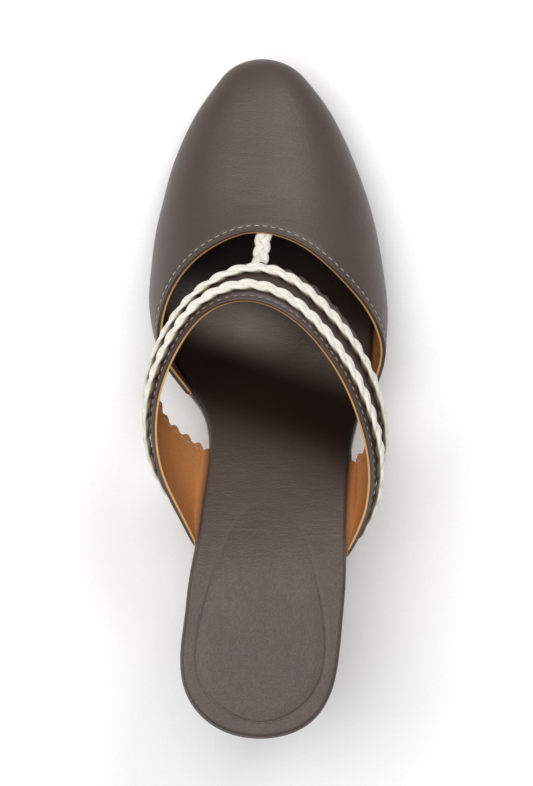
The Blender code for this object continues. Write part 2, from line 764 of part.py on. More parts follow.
def heel_ring(inset):
    """The heel seat's outline from above, back part round, with cut breast corners."""
    breast_turn = turn_of_y(HEEL_BREAST_Y)
    turns = np.linspace(0.0, breast_turn, HEEL_SEAT_STEPS + 1)
    ring = []
    for side in (1, -1):
        half = [inset_point(turn, side, inset) for turn in turns]
        corner = half.pop()
        half.append(corner - np.array([0.0, HEEL_CORNER]))
        half.append(corner - np.array([side * HEEL_CORNER, 0.0]))
        ring += half[1:] if side == 1 else list(reversed(half))
    return ring


def heel_foot_ring():
    """The same outline moved and scaled to the heel's foot on the floor."""
    ring = heel_ring(HEEL_TOP_INSET)
    low = np.min(ring, axis=0)
    high = np.max(ring, axis=0)
    foot_low = np.array([-HEEL_FOOT_WIDTH / 2, HEEL_FOOT_BACK_Y])
    foot_high = np.array([HEEL_FOOT_WIDTH / 2, HEEL_FOOT_FRONT_Y])
    return [foot_low + (point - low) / (high - low) * (foot_high - foot_low) for point in ring]


def build_heel_block(material):
    top_ring = heel_ring(HEEL_TOP_INSET)
    foot_ring = heel_foot_ring()
    foot_z = TOP_LIFT_THICKNESS + GAP
    rings = []
    for level in range(HEEL_LEVELS + 1):
        part = level / HEEL_LEVELS
        spread = part**HEEL_FLARE
        ring = []
        for top, foot in zip(top_ring, foot_ring):
            x, y = foot + (top - foot) * spread
            top_z = over_sole(*top, -GAP)[2]
            ring.append((x, y, foot_z + (top_z - foot_z) * part))
        rings.append(ring)
    return loft_solid("heel_block", rings, material, math.radians(35))


def build_top_lift(material):
    foot_ring = heel_foot_ring()
    rings = [[(*point, z) for point in foot_ring] for z in (0.0, TOP_LIFT_THICKNESS)]
    return loft_solid("heel_top_lift", rings, material, math.radians(35))


clear_scene()
SHOE = bpy.data.collections.new("block_heel_shoe")
bpy.context.scene.collection.children.link(SHOE)

build_outsole(make_material("leather_outsole"))
build_insole(make_material("footbed_leather"))
TAUPE = make_material("taupe_leather")
build_vamp(TAUPE)
build_instep_strap(TAUPE)
COTTON = make_material("cotton_braid")
build_strap_braid("braid_back", BACK_BRAID_PLACE, 0.0, -1, COTTON)
build_strap_braid("braid_front", 0.0, FRONT_BRAID_INSET, 1, COTTON)
build_centre_braid(COTTON)
build_heel_block(make_material("heel_cover"))
build_top_lift(make_material("rubber_lift"))
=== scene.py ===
# Block heel mule for the right foot, with a plaited strap over the instep.
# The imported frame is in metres: +Y runs to the toe, +X to the outer side and +Z up.

import math

import bpy
import numpy as np
from mathutils import Matrix, Vector
from mathutils.kdtree import KDTree


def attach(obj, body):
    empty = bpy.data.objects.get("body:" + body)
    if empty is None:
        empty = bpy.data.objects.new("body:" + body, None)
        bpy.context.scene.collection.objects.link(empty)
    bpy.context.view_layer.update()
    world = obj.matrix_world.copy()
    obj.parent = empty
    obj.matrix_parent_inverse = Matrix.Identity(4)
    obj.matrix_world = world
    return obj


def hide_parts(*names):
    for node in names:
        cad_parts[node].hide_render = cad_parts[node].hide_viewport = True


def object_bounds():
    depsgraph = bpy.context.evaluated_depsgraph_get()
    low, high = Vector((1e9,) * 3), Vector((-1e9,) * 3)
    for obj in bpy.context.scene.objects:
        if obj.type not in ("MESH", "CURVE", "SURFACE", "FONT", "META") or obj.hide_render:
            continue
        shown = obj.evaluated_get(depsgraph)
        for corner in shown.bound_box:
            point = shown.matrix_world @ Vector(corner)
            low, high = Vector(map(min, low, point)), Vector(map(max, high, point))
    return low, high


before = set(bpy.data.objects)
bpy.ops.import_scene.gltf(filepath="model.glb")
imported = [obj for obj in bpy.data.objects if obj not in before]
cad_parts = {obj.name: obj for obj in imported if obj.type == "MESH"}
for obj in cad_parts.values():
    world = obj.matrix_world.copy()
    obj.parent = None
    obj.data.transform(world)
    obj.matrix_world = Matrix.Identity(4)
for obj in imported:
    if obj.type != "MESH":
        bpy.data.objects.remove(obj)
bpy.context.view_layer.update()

MM = 0.001


# Stand, light and camera
# A pale paper floor under two soft boxes and an even white room, as in a catalogue picture.
# The camera hangs a little to the shoe's inner side, where the photograph was taken from.

CAMERA_PLACE = Vector((-0.0408, 0.0975, 1.3000))
CAMERA_REACH = (0.05, 20.0)   # nearest and furthest place that it sees
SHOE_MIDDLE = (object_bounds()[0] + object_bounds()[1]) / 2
FRAME_SHARE = 0.86            # how much of the picture's height the shoe fills
SENSOR_WIDTH = 36.0
FLOOR_SIZE = 6.0
ROOM_LIGHT = 0.42
PAPER_GRAIN = 10 / 9 * MM     # drawn coarser than the real fibre, so that it shows


def linear(colour):
    """Linear colour of an sRGB hex value, with full alpha."""
    channels = [int(colour[i:i + 2], 16) / 255 for i in (1, 3, 5)]
    return (*[c / 12.92 if c <= 0.04045 else ((c + 0.055) / 1.055) ** 2.4 for c in channels], 1.0)


def new_material(name):
    material = bpy.data.materials.new(name)
    material.use_nodes = True
    return material


def add_node(material, kind, inputs, **settings):
    """A node with its settings; an input is a value or the socket that feeds it."""
    node = material.node_tree.nodes.new(kind)
    for name, value in settings.items():
        setattr(node, name, value)
    for name, value in inputs.items():
        socket = next(one for one in node.inputs if one.name == name and one.enabled)
        if isinstance(value, bpy.types.NodeSocket):
            material.node_tree.links.new(value, socket)
        else:
            socket.default_value = value
    return node


def output(node, name):
    return next(one for one in node.outputs if one.name == name and one.enabled)


def set_shader(material, inputs):
    """Feeds the material's own shader with values and sockets."""
    shader = material.node_tree.nodes["Principled BSDF"]
    for name, value in inputs.items():
        if isinstance(value, bpy.types.NodeSocket):
            material.node_tree.links.new(value, shader.inputs[name])
        else:
            shader.inputs[name].default_value = value


def deselect_all():
    bpy.ops.object.select_all(action="DESELECT")


def add_camera():
    data = bpy.data.cameras.new("camera")
    camera = bpy.data.objects.new("camera", data)
    bpy.context.scene.collection.objects.link(camera)
    aim = SHOE_MIDDLE - CAMERA_PLACE
    low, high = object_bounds()
    share_of_view = (high.y - low.y) / aim.length / FRAME_SHARE
    data.sensor_width = SENSOR_WIDTH
    data.lens = SENSOR_WIDTH / share_of_view
    data.clip_start, data.clip_end = CAMERA_REACH
    backward = -aim.normalized()
    rightward = Vector((0.0, 1.0, 0.0)).cross(backward).normalized()
    upward = backward.cross(rightward)
    camera.location = CAMERA_PLACE
    camera.rotation_euler = Matrix((rightward, upward, backward)).transposed().to_euler()
    bpy.context.scene.camera = camera


def add_soft_box(name, place, size, power):
    data = bpy.data.lights.new(name, "AREA")
    data.shape = "SQUARE"
    data.size = size
    data.energy = power
    light = bpy.data.objects.new(name, data)
    bpy.context.scene.collection.objects.link(light)
    light.location = place
    aim = SHOE_MIDDLE - Vector(place)
    light.rotation_euler = aim.to_track_quat("-Z", "Y").to_euler()


def add_mottle(material, place, grain, detail, colours):
    """A tone that wanders between two colours, and the noise of a grain size that moves it."""
    noise = add_node(material, "ShaderNodeTexNoise", {
        "Vector": place, "Scale": 1 / grain, "Detail": detail})
    tone = add_node(material, "ShaderNodeMix", {
        "Factor": output(noise, "Fac"), "A": linear(colours[0]), "B": linear(colours[1]),
    }, data_type="RGBA")
    return output(tone, "Result"), output(noise, "Fac")


def paper_floor():
    """Matt white studio paper, with a faint fibre in its tone."""
    material = new_material("matt white paper")
    place = add_node(material, "ShaderNodeTexCoord", {}).outputs["Object"]
    tone = add_mottle(material, place, PAPER_GRAIN, 2.0, ("#f4f4f4", "#fbfbfb"))[0]
    set_shader(material, {"Base Color": tone, "Roughness": 0.9})
    return material


add_camera()
add_soft_box("key_box", place=(0.48, 0.91, 1.19), size=0.50, power=5.0)
add_soft_box("top_box", place=(-0.40, 0.30, 1.42), size=1.30, power=18.0)

deselect_all()
bpy.ops.mesh.primitive_plane_add(size=FLOOR_SIZE)
floor = bpy.context.active_object
floor.name = "floor"
floor.data.materials.append(paper_floor())

world = bpy.data.worlds.new("white room")
world.use_nodes = True
world.node_tree.nodes["Background"].inputs["Color"].default_value = linear("#ffffff")
world.node_tree.nodes["Background"].inputs["Strength"].default_value = ROOM_LIGHT
bpy.context.scene.world = world
bpy.context.scene.view_settings.view_transform = "Standard"


# Outsole
# A thin leather sole, cut a little wider than the footbed where the upper is lasted in.
# Its edge is trimmed, rounded and painted, and its underside is buffed bare leather.

FOOTBED_LENGTH = 0.2324
SEAT_WIDTH = 0.0540
SEAT_BACK = 0.0278            # from the origin to the back of the seat
WAIST_WIDTH = 0.0487
BALL_WIDTH = 0.0752
HEEL_HEIGHT = 0.0620          # floor to the outsole, at the very back
SEAT_DROP = 0.0070
HEEL_BREAST_Y = 0.0200
FLAT_START_Y = 0.1280
FLAT_END_Y = 0.1500
TOE_SPRING = 0.0060
OUTSOLE_THICKNESS = 0.0030
UPPER_WALL = 0.0018
GAP = 0.0003
LEDGE = GAP + UPPER_WALL      # room for the upper outside the footbed's edge
BACK_Y = -SEAT_BACK
TIP_Y = BACK_Y + FOOTBED_LENGTH
STEP = 0.0001                 # small step for slopes and normals, as a share
MERGE = 0.00001               # points closer than this are one

# Outline of the footbed. Columns: share of the length, middle as a share of the ball
# width, width, the size that it is a share of, and the outsole's ledge as a share of LEDGE.

OUTLINE_ROWS = (
    (0.000, 0.000, 0.000, SEAT_WIDTH, 0.1),
    (0.014, 0.000, 0.520, SEAT_WIDTH, 0.1),
    (0.037, -0.004, 0.766, SEAT_WIDTH, 0.1),
    (0.076, -0.007, 0.944, SEAT_WIDTH, 0.1),
    (0.133, 0.003, 1.005, SEAT_WIDTH, 0.1),
    (0.184, 0.021, 0.999, SEAT_WIDTH, 0.1),
    (0.236, 0.038, 0.988, SEAT_WIDTH, 0.1),
    (0.284, 0.056, 0.940, SEAT_WIDTH, 0.3),
    (0.335, 0.074, 1.016, WAIST_WIDTH, 1.0),
    (0.382, 0.094, 1.000, WAIST_WIDTH, 0.9),
    (0.417, 0.108, 1.010, WAIST_WIDTH, 0.2),
    (0.447, 0.118, 1.053, WAIST_WIDTH, 0.2),
    (0.477, 0.118, 0.750, BALL_WIDTH, 0.0),
    (0.507, 0.104, 0.834, BALL_WIDTH, 0.4),
    (0.542, 0.080, 0.918, BALL_WIDTH, 1.0),
    (0.584, 0.066, 0.971, BALL_WIDTH, 1.0),
    (0.640, 0.060, 1.000, BALL_WIDTH, 1.0),
    (0.696, 0.053, 0.977, BALL_WIDTH, 1.0),
    (0.748, 0.046, 0.933, BALL_WIDTH, 1.0),
    (0.796, 0.045, 0.860, BALL_WIDTH, 1.0),
    (0.843, 0.041, 0.769, BALL_WIDTH, 1.0),
    (0.885, 0.039, 0.668, BALL_WIDTH, 1.0),
    (0.928, 0.038, 0.538, BALL_WIDTH, 1.0),
    (0.967, 0.036, 0.370, BALL_WIDTH, 1.0),
    (0.989, 0.032, 0.240, BALL_WIDTH, 1.0),
    (1.000, 0.031, 0.000, BALL_WIDTH, 1.0),
)
OUTSOLE_RINGS = 150
EDGE_ROUND = 0.0009
EDGE_STEPS = 4
BARE_BELOW = -0.6             # faces whose normal points further down are left unpainted


def smooth_curve(places, values):
    """A natural cubic spline through the rows."""
    xs = np.asarray(places, float)
    ys = np.asarray(values, float)
    count = len(xs)
    widths = np.diff(xs)
    matrix = np.eye(count)
    right = np.zeros(count)
    for i in range(1, count - 1):
        matrix[i, i - 1] = widths[i - 1]
        matrix[i, i] = 2 * (widths[i - 1] + widths[i])
        matrix[i, i + 1] = widths[i]
        right[i] = 6 * ((ys[i + 1] - ys[i]) / widths[i] - (ys[i] - ys[i - 1]) / widths[i - 1])
    bends = np.linalg.solve(matrix, right)

    def value_at(place):
        i = int(min(max(np.searchsorted(xs, place) - 1, 0), count - 2))
        width = widths[i]
        to_next = xs[i + 1] - place
        from_last = place - xs[i]
        curved = (bends[i] * to_next**3 + bends[i + 1] * from_last**3) / (6 * width)
        start = (ys[i] / width - bends[i] * width / 6) * to_next
        end = (ys[i + 1] / width - bends[i + 1] * width / 6) * from_last
        return float(curved + start + end)

    return value_at


def clamp(value, low, high):
    return min(max(value, low), high)


# A place along the shoe is a turn from 0 at the back to 1 at the toe, which rounds both ends.

def turn_of_share(share):
    return math.acos(1 - 2 * clamp(share, 0.0, 1.0)) / math.pi


def y_of_turn(turn):
    return BACK_Y + FOOTBED_LENGTH * (1 - math.cos(math.pi * turn)) / 2


def turn_of_y(y):
    return turn_of_share((y - BACK_Y) / FOOTBED_LENGTH)


OUTLINE_TURNS = [turn_of_share(row[0]) for row in OUTLINE_ROWS]
outline_middle = smooth_curve(OUTLINE_TURNS, [row[1] * BALL_WIDTH for row in OUTLINE_ROWS])
outline_width = smooth_curve(OUTLINE_TURNS, [row[2] * row[3] for row in OUTLINE_ROWS])
LEDGE_VALUES = [row[4] * LEDGE for row in OUTLINE_ROWS]


def outline_point(turn, side):
    return np.array([outline_middle(turn) + side * outline_width(turn) / 2, y_of_turn(turn)])


def unit(vector):
    return vector / np.linalg.norm(vector)


def outward_of(turn, side):
    """The direction straight out of the outline, seen from above."""
    if turn < STEP:
        return np.array([0.0, -1.0])
    if turn > 1 - STEP:
        return np.array([0.0, 1.0])
    along = outline_point(turn + STEP, side) - outline_point(turn - STEP, side)
    return unit(np.array([along[1], -along[0]]) * side)


def inset_point(turn, side, inset):
    return outline_point(turn, side) - outward_of(turn, side) * inset


def ease(part):
    """A share from 0 to 1 that starts and ends softly."""
    return part * part * (3 - 2 * part)


def sole_height(y):
    """Height of the outsole's underside along the shoe."""
    breast_height = HEEL_HEIGHT - SEAT_DROP
    seat_slope = SEAT_DROP / (HEEL_BREAST_Y - BACK_Y)
    if y > FLAT_END_Y:
        return TOE_SPRING * ((y - FLAT_END_Y) / (TIP_Y - FLAT_END_Y)) ** 2
    if y > FLAT_START_Y:
        return 0.0
    if y < HEEL_BREAST_Y:
        return breast_height - (y - HEEL_BREAST_Y) * seat_slope
    run = FLAT_START_Y - HEEL_BREAST_Y
    part = (FLAT_START_Y - y) / run
    return breast_height * ease(part) + seat_slope * run * (part**3 - part**2)


def over_sole(x, y, height):
    """A point at a height measured square to the outsole's underside."""
    reach = FOOTBED_LENGTH * STEP
    slope = (sole_height(y + reach) - sole_height(y - reach)) / (2 * reach)
    length = math.hypot(1, slope)
    return np.array([x, y - height * slope / length, sole_height(y) + height / length])


def grid_piece(name, places, closed=False, outward=None):
    """A grid primitive whose points are moved to rows of places, kept with its own UVs."""
    deselect_all()
    rows = len(places)
    columns = len(places[0])
    bpy.ops.mesh.primitive_grid_add(x_subdivisions=columns - 1, y_subdivisions=rows - 1, size=1.0)
    piece = bpy.context.active_object
    piece.name = name
    piece.data.name = name
    for vertex in piece.data.vertices:
        column = round((vertex.co.x + 0.5) * (columns - 1))
        row = round((vertex.co.y + 0.5) * (rows - 1))
        vertex.co = places[row][column]
    bpy.ops.object.mode_set(mode="EDIT")
    bpy.ops.mesh.select_all(action="SELECT")
    bpy.ops.mesh.remove_doubles(threshold=MERGE)
    if closed:
        bpy.ops.mesh.normals_make_consistent(inside=False)
    bpy.ops.object.mode_set(mode="OBJECT")
    if outward is not None:
        top_face = max(piece.data.polygons, key=lambda face: face.center.z)
        if top_face.normal.dot(Vector(outward)) < 0:
            bpy.ops.object.mode_set(mode="EDIT")
            bpy.ops.mesh.flip_normals()
            bpy.ops.object.mode_set(mode="OBJECT")
    return piece


def finish_piece(piece, node, materials, smooth_degrees=35):
    """Gives the piece its materials, smooth shading and its place in the frame."""
    for material in materials:
        piece.data.materials.append(material)
    deselect_all()
    bpy.context.view_layer.objects.active = piece
    piece.select_set(True)
    bpy.ops.object.shade_smooth_by_angle(angle=math.radians(smooth_degrees))
    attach(piece, "root")
    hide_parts(node)


def layer_ring(turn, half_profile):
    """One ring of a sole layer, from half a profile of (inset, height, share to middle)."""
    sides = {-1: [], 1: []}
    for inset, height, to_middle in half_profile:
        places = {side: inset_point(turn, side, inset) for side in sides}
        middle = (places[-1] + places[1]) / 2
        for side, place in places.items():
            sides[side].append(over_sole(*(place + (middle - place) * to_middle), height))
    return sides[1] + list(reversed(sides[-1])) + [sides[1][0]]


def quarter_round(radius, steps):
    """Places round a rounded corner, as the distances from its two flat sides."""
    angles = [math.pi / 2 * step / steps for step in range(steps + 1)]
    return [(radius * (1 - math.sin(angle)), radius * (1 - math.cos(angle))) for angle in angles]


def rounded_edge(inset, low, high, radius, steps):
    """Half a profile round a layer's edge: middle of the top, edge, middle of the bottom."""
    corner = quarter_round(radius, steps)
    points = [(inset + radius, high, 1.0), (inset + radius, high, 0.5)]
    points += [(inset + out, high - drop, 0.0) for out, drop in corner]
    points += [(inset + out, low + drop, 0.0) for out, drop in reversed(corner)]
    return points + [(inset + radius, low, 0.5), (inset + radius, low, 1.0)]


def buffed_sole_leather():
    """Vegetable-tanned bend leather, buffed: pale tan, matt, with a cloudy tone."""
    material = new_material("buffed vegetable-tanned sole leather")
    place = add_node(material, "ShaderNodeTexCoord", {}).outputs["Object"]
    tone = add_mottle(material, place, 22 * MM, 5.0, ("#a97c4f", "#c29a6b"))[0]
    nap = add_node(material, "ShaderNodeTexNoise", {
        "Vector": place, "Scale": 1 / (0.6 * MM), "Detail": 3.0})
    nap_bump = add_node(material, "ShaderNodeBump", {
        "Height": output(nap, "Fac"), "Distance": 0.05 * MM, "Strength": 0.6})
    set_shader(material, {
        "Base Color": tone, "Roughness": 0.62, "Normal": output(nap_bump, "Normal")})
    return material


def mottled_finish(name, colours, grain, relief, strength, roughness, detail=2.0):
    """A finish whose two tones and fine relief follow one noise of a grain size."""
    material = new_material(name)
    place = add_node(material, "ShaderNodeTexCoord", {}).outputs["Object"]
    tone, noise = add_mottle(material, place, grain, detail, colours)
    bump = add_node(material, "ShaderNodeBump", {
        "Height": noise, "Distance": relief, "Strength": strength})
    set_shader(material, {
        "Base Color": tone, "Roughness": roughness, "Normal": output(bump, "Normal")})
    return material


def painted_edge():
    """Edge paint on trimmed leather: dark brown, even and faintly glossy, with brush marks."""
    return mottled_finish("edge paint on trimmed leather", ("#3a2f2b", "#4a3e39"),
                          grain=1.5 * MM, relief=0.04 * MM, strength=0.5, roughness=0.38)


def model_outsole():
    rings = []
    for ring in range(OUTSOLE_RINGS + 1):
        turn = ring / OUTSOLE_RINGS
        ledge = float(np.interp(turn, OUTLINE_TURNS, LEDGE_VALUES))
        profile = rounded_edge(-ledge, 0.0, OUTSOLE_THICKNESS, EDGE_ROUND, EDGE_STEPS)
        rings.append(layer_ring(turn, profile))
    piece = grid_piece("outsole_leather", rings, closed=True)
    finish_piece(piece, "outsole", [buffed_sole_leather(), painted_edge()])
    for face in piece.data.polygons:
        face.material_index = 0 if face.normal.z < BARE_BELOW and face.area > 0 else 1


model_outsole()


# Heel block
# A plain block of moulded plastic, covered in the upper's leather. The cover is pulled round
# the back and sides, and a straight panel closes it on the breast, the side to the toe.

HEEL_TOP_INSET = 0.0010
HEEL_FOOT_BACK_Y = -0.0215
HEEL_FOOT_FRONT_Y = 0.0175
HEEL_FOOT_WIDTH = 0.0440
HEEL_CORNER = 0.0022
TOP_LIFT_THICKNESS = 0.0050
HEEL_FLARE = 1.6
HEEL_ROUND_STEPS = 40
HEEL_CORNER_STEPS = 5
HEEL_BREAST_STEPS = 12
HEEL_LEVELS = 40
HEEL_EDGE_ROUND = 0.0006
BREAST_PANEL_MARGIN = 0.0042
BREAST_PANEL_THICKNESS = 0.0005
BREAST_PANEL_ROUND = 0.0003


def heel_ring(inset):
    """The heel seat's outline from above, from the breast round the back."""
    turns = np.linspace(0.0, turn_of_y(HEEL_BREAST_Y), HEEL_ROUND_STEPS + 1)
    halves = {}
    for side in (-1, 1):
        half = [inset_point(turn, side, inset) for turn in turns]
        corner = half[-1]
        half = [point for point in half if point[1] < corner[1] - HEEL_CORNER]
        for back, inward in quarter_round(HEEL_CORNER, HEEL_CORNER_STEPS):
            half.append(corner - np.array([side * inward, back]))
        halves[side] = half
    right = halves[1][-1]
    left = halves[-1][-1]
    breast = [right + (left - right) * i / HEEL_BREAST_STEPS for i in range(1, HEEL_BREAST_STEPS)]
    ring = halves[1] + breast + list(reversed(halves[-1]))[:-1]
    return ring + [ring[0]]


HEEL_SEAT_RING = heel_ring(HEEL_TOP_INSET)


def heel_foot_ring():
    """The same outline moved and scaled to the heel's foot on the floor."""
    low = np.min(HEEL_SEAT_RING, axis=0)
    high = np.max(HEEL_SEAT_RING, axis=0)
    foot_low = np.array([-HEEL_FOOT_WIDTH / 2, HEEL_FOOT_BACK_Y])
    foot_high = np.array([HEEL_FOOT_WIDTH / 2, HEEL_FOOT_FRONT_Y])
    scale = (foot_high - foot_low) / (high - low)
    return [foot_low + (point - low) * scale for point in HEEL_SEAT_RING]


HEEL_FOOT_RING = heel_foot_ring()


def shrunk(ring, inset):
    """A flat ring pulled in all round by about a distance."""
    middle = np.mean(ring[:-1], axis=0)
    return [point - unit(point - middle) * inset for point in ring]


def heel_level(part):
    """Ring of the heel at a share of its height, 0 at the foot and 1 at the seat."""
    foot_z = TOP_LIFT_THICKNESS + GAP
    ring = []
    for seat, foot in zip(HEEL_SEAT_RING, HEEL_FOOT_RING):
        x, y = foot + (seat - foot) * part**HEEL_FLARE
        seat_z = over_sole(*seat, -GAP)[2]
        ring.append(np.array([x, y, foot_z + (seat_z - foot_z) * part]))
    return ring


def capped(rings):
    """Rings closed by their own middle at both ends."""
    first, last = [[np.mean(ring[:-1], axis=0)] * len(ring) for ring in (rings[0], rings[-1])]
    return [first, *rings, last]


PEBBLE_DRIFT = 0.0006         # share by which a noise moves the pebbles off their even places
CREASE_STRETCH = 4.0          # how much longer a crease is across the shoe than along it
CLOUD_SIZE = 16 * MM
FLECK_SIZE = 1.1 * MM
VALLEY_SHADE = 0.20           # share of the valley's colour at a pebble's foot


def add_pebble_grain(material, place, pebble, crease):
    """Height of a leather's grain: pebbles of a size, and soft creases across the shoe."""
    drift = add_node(material, "ShaderNodeTexNoise", {
        "Vector": place, "Scale": 1 / (3 * pebble), "Detail": 2.0})
    moved = add_node(material, "ShaderNodeMix", {
        "Factor": PEBBLE_DRIFT, "A": place, "B": output(drift, "Color")}, data_type="VECTOR")
    pebbles = add_node(material, "ShaderNodeTexVoronoi", {
        "Vector": output(moved, "Result"), "Scale": 1 / pebble}, feature="DISTANCE_TO_EDGE")
    rise = add_node(material, "ShaderNodeMapRange", {
        "Value": output(pebbles, "Distance"), "From Max": 0.35,
    }, interpolation_type="SMOOTHSTEP")
    stretched = add_node(material, "ShaderNodeMapping", {
        "Vector": place, "Scale": (1 / CREASE_STRETCH, 1.0, 1.0)})
    creases = add_node(material, "ShaderNodeTexNoise", {
        "Vector": output(stretched, "Vector"), "Scale": 1 / crease, "Detail": 3.0, "Roughness": 0.6})
    return output(rise, "Result"), output(creases, "Fac")


def finished_leather(name, colours, pebble=0.9 * MM, pebble_height=0.022 * MM, crease=2.2 * MM,
                     crease_height=0.08 * MM, roughness=(0.38, 0.46)):
    """Drum-dyed calf with a thin resin finish: fine pebbles, a cloudy tone, a satin gloss.

    The pebbles are drawn a little coarser than real ones, so that they show.
    """
    valley, low_tone, high_tone = (linear(colour) for colour in colours)
    material = new_material(name)
    place = add_node(material, "ShaderNodeTexCoord", {}).outputs["Object"]
    pebbles, creases = add_pebble_grain(material, place, pebble, crease)
    cloud = add_node(material, "ShaderNodeTexNoise", {
        "Vector": place, "Scale": 1 / CLOUD_SIZE, "Detail": 4.0, "Roughness": 0.55})
    cloud_range = add_node(material, "ShaderNodeMapRange", {
        "Value": output(cloud, "Fac"), "From Min": 0.32, "From Max": 0.68})
    fleck = add_node(material, "ShaderNodeTexNoise", {
        "Vector": place, "Scale": 1 / FLECK_SIZE, "Detail": 3.0, "Roughness": 0.7})
    tone = add_node(material, "ShaderNodeMix", {
        "Factor": output(cloud_range, "Result"), "A": low_tone, "B": high_tone,
    }, data_type="RGBA")
    flecked = add_node(material, "ShaderNodeMix", {
        "Factor": output(fleck, "Fac"), "A": output(tone, "Result"), "B": low_tone,
    }, data_type="RGBA")
    depth = add_node(material, "ShaderNodeMapRange", {
        "Value": pebbles, "To Min": VALLEY_SHADE, "To Max": 0.0})
    skin = add_node(material, "ShaderNodeMix", {
        "Factor": output(depth, "Result"), "A": output(flecked, "Result"), "B": valley,
    }, data_type="RGBA")
    gloss = add_node(material, "ShaderNodeMapRange", {
        "Value": output(fleck, "Fac"), "From Min": 0.3, "From Max": 0.7,
        "To Min": roughness[0], "To Max": roughness[1]})
    pebble_bump = add_node(material, "ShaderNodeBump", {
        "Height": pebbles, "Distance": pebble_height, "Strength": 1.0})
    crease_bump = add_node(material, "ShaderNodeBump", {
        "Height": creases, "Distance": crease_height, "Strength": 1.0,
        "Normal": output(pebble_bump, "Normal")})
    set_shader(material, {
        "Base Color": output(skin, "Result"), "Roughness": output(gloss, "Result"),
        "Normal": output(crease_bump, "Normal")})
    return material


def rise_along_shoe(material, place, start, end, highest=1.0):
    """A soft rise from 0 to the highest value between two places along the shoe."""
    along = add_node(material, "ShaderNodeSeparateXYZ", {"Vector": place})
    rise = add_node(material, "ShaderNodeMapRange", {
        "Value": output(along, "Y"), "From Min": start, "From Max": end, "To Max": highest,
    }, interpolation_type="SMOOTHSTEP")
    return output(rise, "Result")


TAUPE_TONES = ("#3a2e29", "#473932", "#4f4039")
COVER_LEATHER = finished_leather("calf leather pulled over the heel", TAUPE_TONES)


def apply_modifier(piece, name, kind, **settings):
    modifier = piece.modifiers.new(name, kind)
    for key, value in settings.items():
        setattr(modifier, key, value)
    bpy.context.view_layer.objects.active = piece
    bpy.ops.object.modifier_apply(modifier=name)


def round_edges(piece, name, width, segments, degrees):
    """Rounds the edges at which a piece turns by more than an angle."""
    apply_modifier(piece, name, "BEVEL", width=width, segments=segments,
                   limit_method="ANGLE", angle_limit=math.radians(degrees))


def model_heel_block():
    foot = heel_level(0.0)
    levels = [heel_level(level / HEEL_LEVELS) for level in range(1, HEEL_LEVELS + 1)]
    above_foot = [point + np.array([0.0, 0.0, HEEL_EDGE_ROUND]) for point in foot]
    seat = shrunk(levels[-1], HEEL_EDGE_ROUND)
    rings = [shrunk(foot, HEEL_EDGE_ROUND), above_foot, *levels, seat]
    piece = grid_piece("heel_cover", capped(rings), closed=True)
    finish_piece(piece, "heel_block", [COVER_LEATHER])


def model_breast_panel():
    """The straight leather panel on the breast, set on the heel's own front face."""
    rows = []
    for level in range(HEEL_LEVELS + 1):
        ring = heel_level(level / HEEL_LEVELS)
        front = max(point[1] for point in ring)
        z = float(np.mean([point[2] for point in ring if point[1] > front - MERGE]))
        right = max(point[0] for point in ring) - BREAST_PANEL_MARGIN
        left = min(point[0] for point in ring) + BREAST_PANEL_MARGIN
        across = np.linspace(left, right, HEEL_ROUND_STEPS + 1)
        rows.append([np.array([x, front, z]) for x in across])
    piece = grid_piece("breast_panel", rows, outward=(0, 1, 0))
    apply_modifier(piece, "thickness", "SOLIDIFY", thickness=BREAST_PANEL_THICKNESS, offset=1.0)
    round_edges(piece, "skived edge", BREAST_PANEL_ROUND, segments=3, degrees=30)
    finish_piece(piece, "heel_block", [COVER_LEATHER])


model_heel_block()
model_breast_panel()


# Top lift
# A block of dense black rubber nailed and glued under the heel, then ground flush with it.
# It is matt, with fine grinding marks round its side.

LIFT_EDGE = 0.0005
LIFT_EDGE_PLACES = ((1.0, 0.0), (0.3, 0.3), (0.0, 1.0))    # inset and height, in LIFT_EDGEs
MARKS_STRETCH = 14.0          # how much longer a grinding mark is than it is high


def ground_rubber():
    """Vulcanised rubber, ground: nearly black, matt, with fine level scratches."""
    material = new_material("ground vulcanised rubber")
    place = add_node(material, "ShaderNodeTexCoord", {}).outputs["Object"]
    level = add_node(material, "ShaderNodeMapping", {
        "Vector": place, "Scale": (1.0, 1.0, MARKS_STRETCH)})
    tone, marks = add_mottle(
        material, output(level, "Vector"), 4 * MM, 5.0, ("#1d1b1a", "#34302e"))
    speck = add_node(material, "ShaderNodeTexNoise", {
        "Vector": place, "Scale": 1 / (0.5 * MM), "Detail": 2.0})
    marks_bump = add_node(material, "ShaderNodeBump", {
        "Height": marks, "Distance": 0.06 * MM, "Strength": 0.8})
    speck_bump = add_node(material, "ShaderNodeBump", {
        "Height": output(speck, "Fac"), "Distance": 0.05 * MM, "Strength": 0.8,
        "Normal": output(marks_bump, "Normal")})
    set_shader(material, {
        "Base Color": tone, "Roughness": 0.78, "Normal": output(speck_bump, "Normal")})
    return material


def model_top_lift():
    levels = [(inset * LIFT_EDGE, height * LIFT_EDGE) for inset, height in LIFT_EDGE_PLACES]
    levels += [(inset, TOP_LIFT_THICKNESS - height) for inset, height in reversed(levels)]
    rings = []
    for inset, z in levels:
        rings.append([np.array([*point, z]) for point in shrunk(HEEL_FOOT_RING, inset)])
    piece = grid_piece("top_lift_rubber", capped(rings), closed=True)
    finish_piece(piece, "heel_top_lift", [ground_rubber()])


model_top_lift()
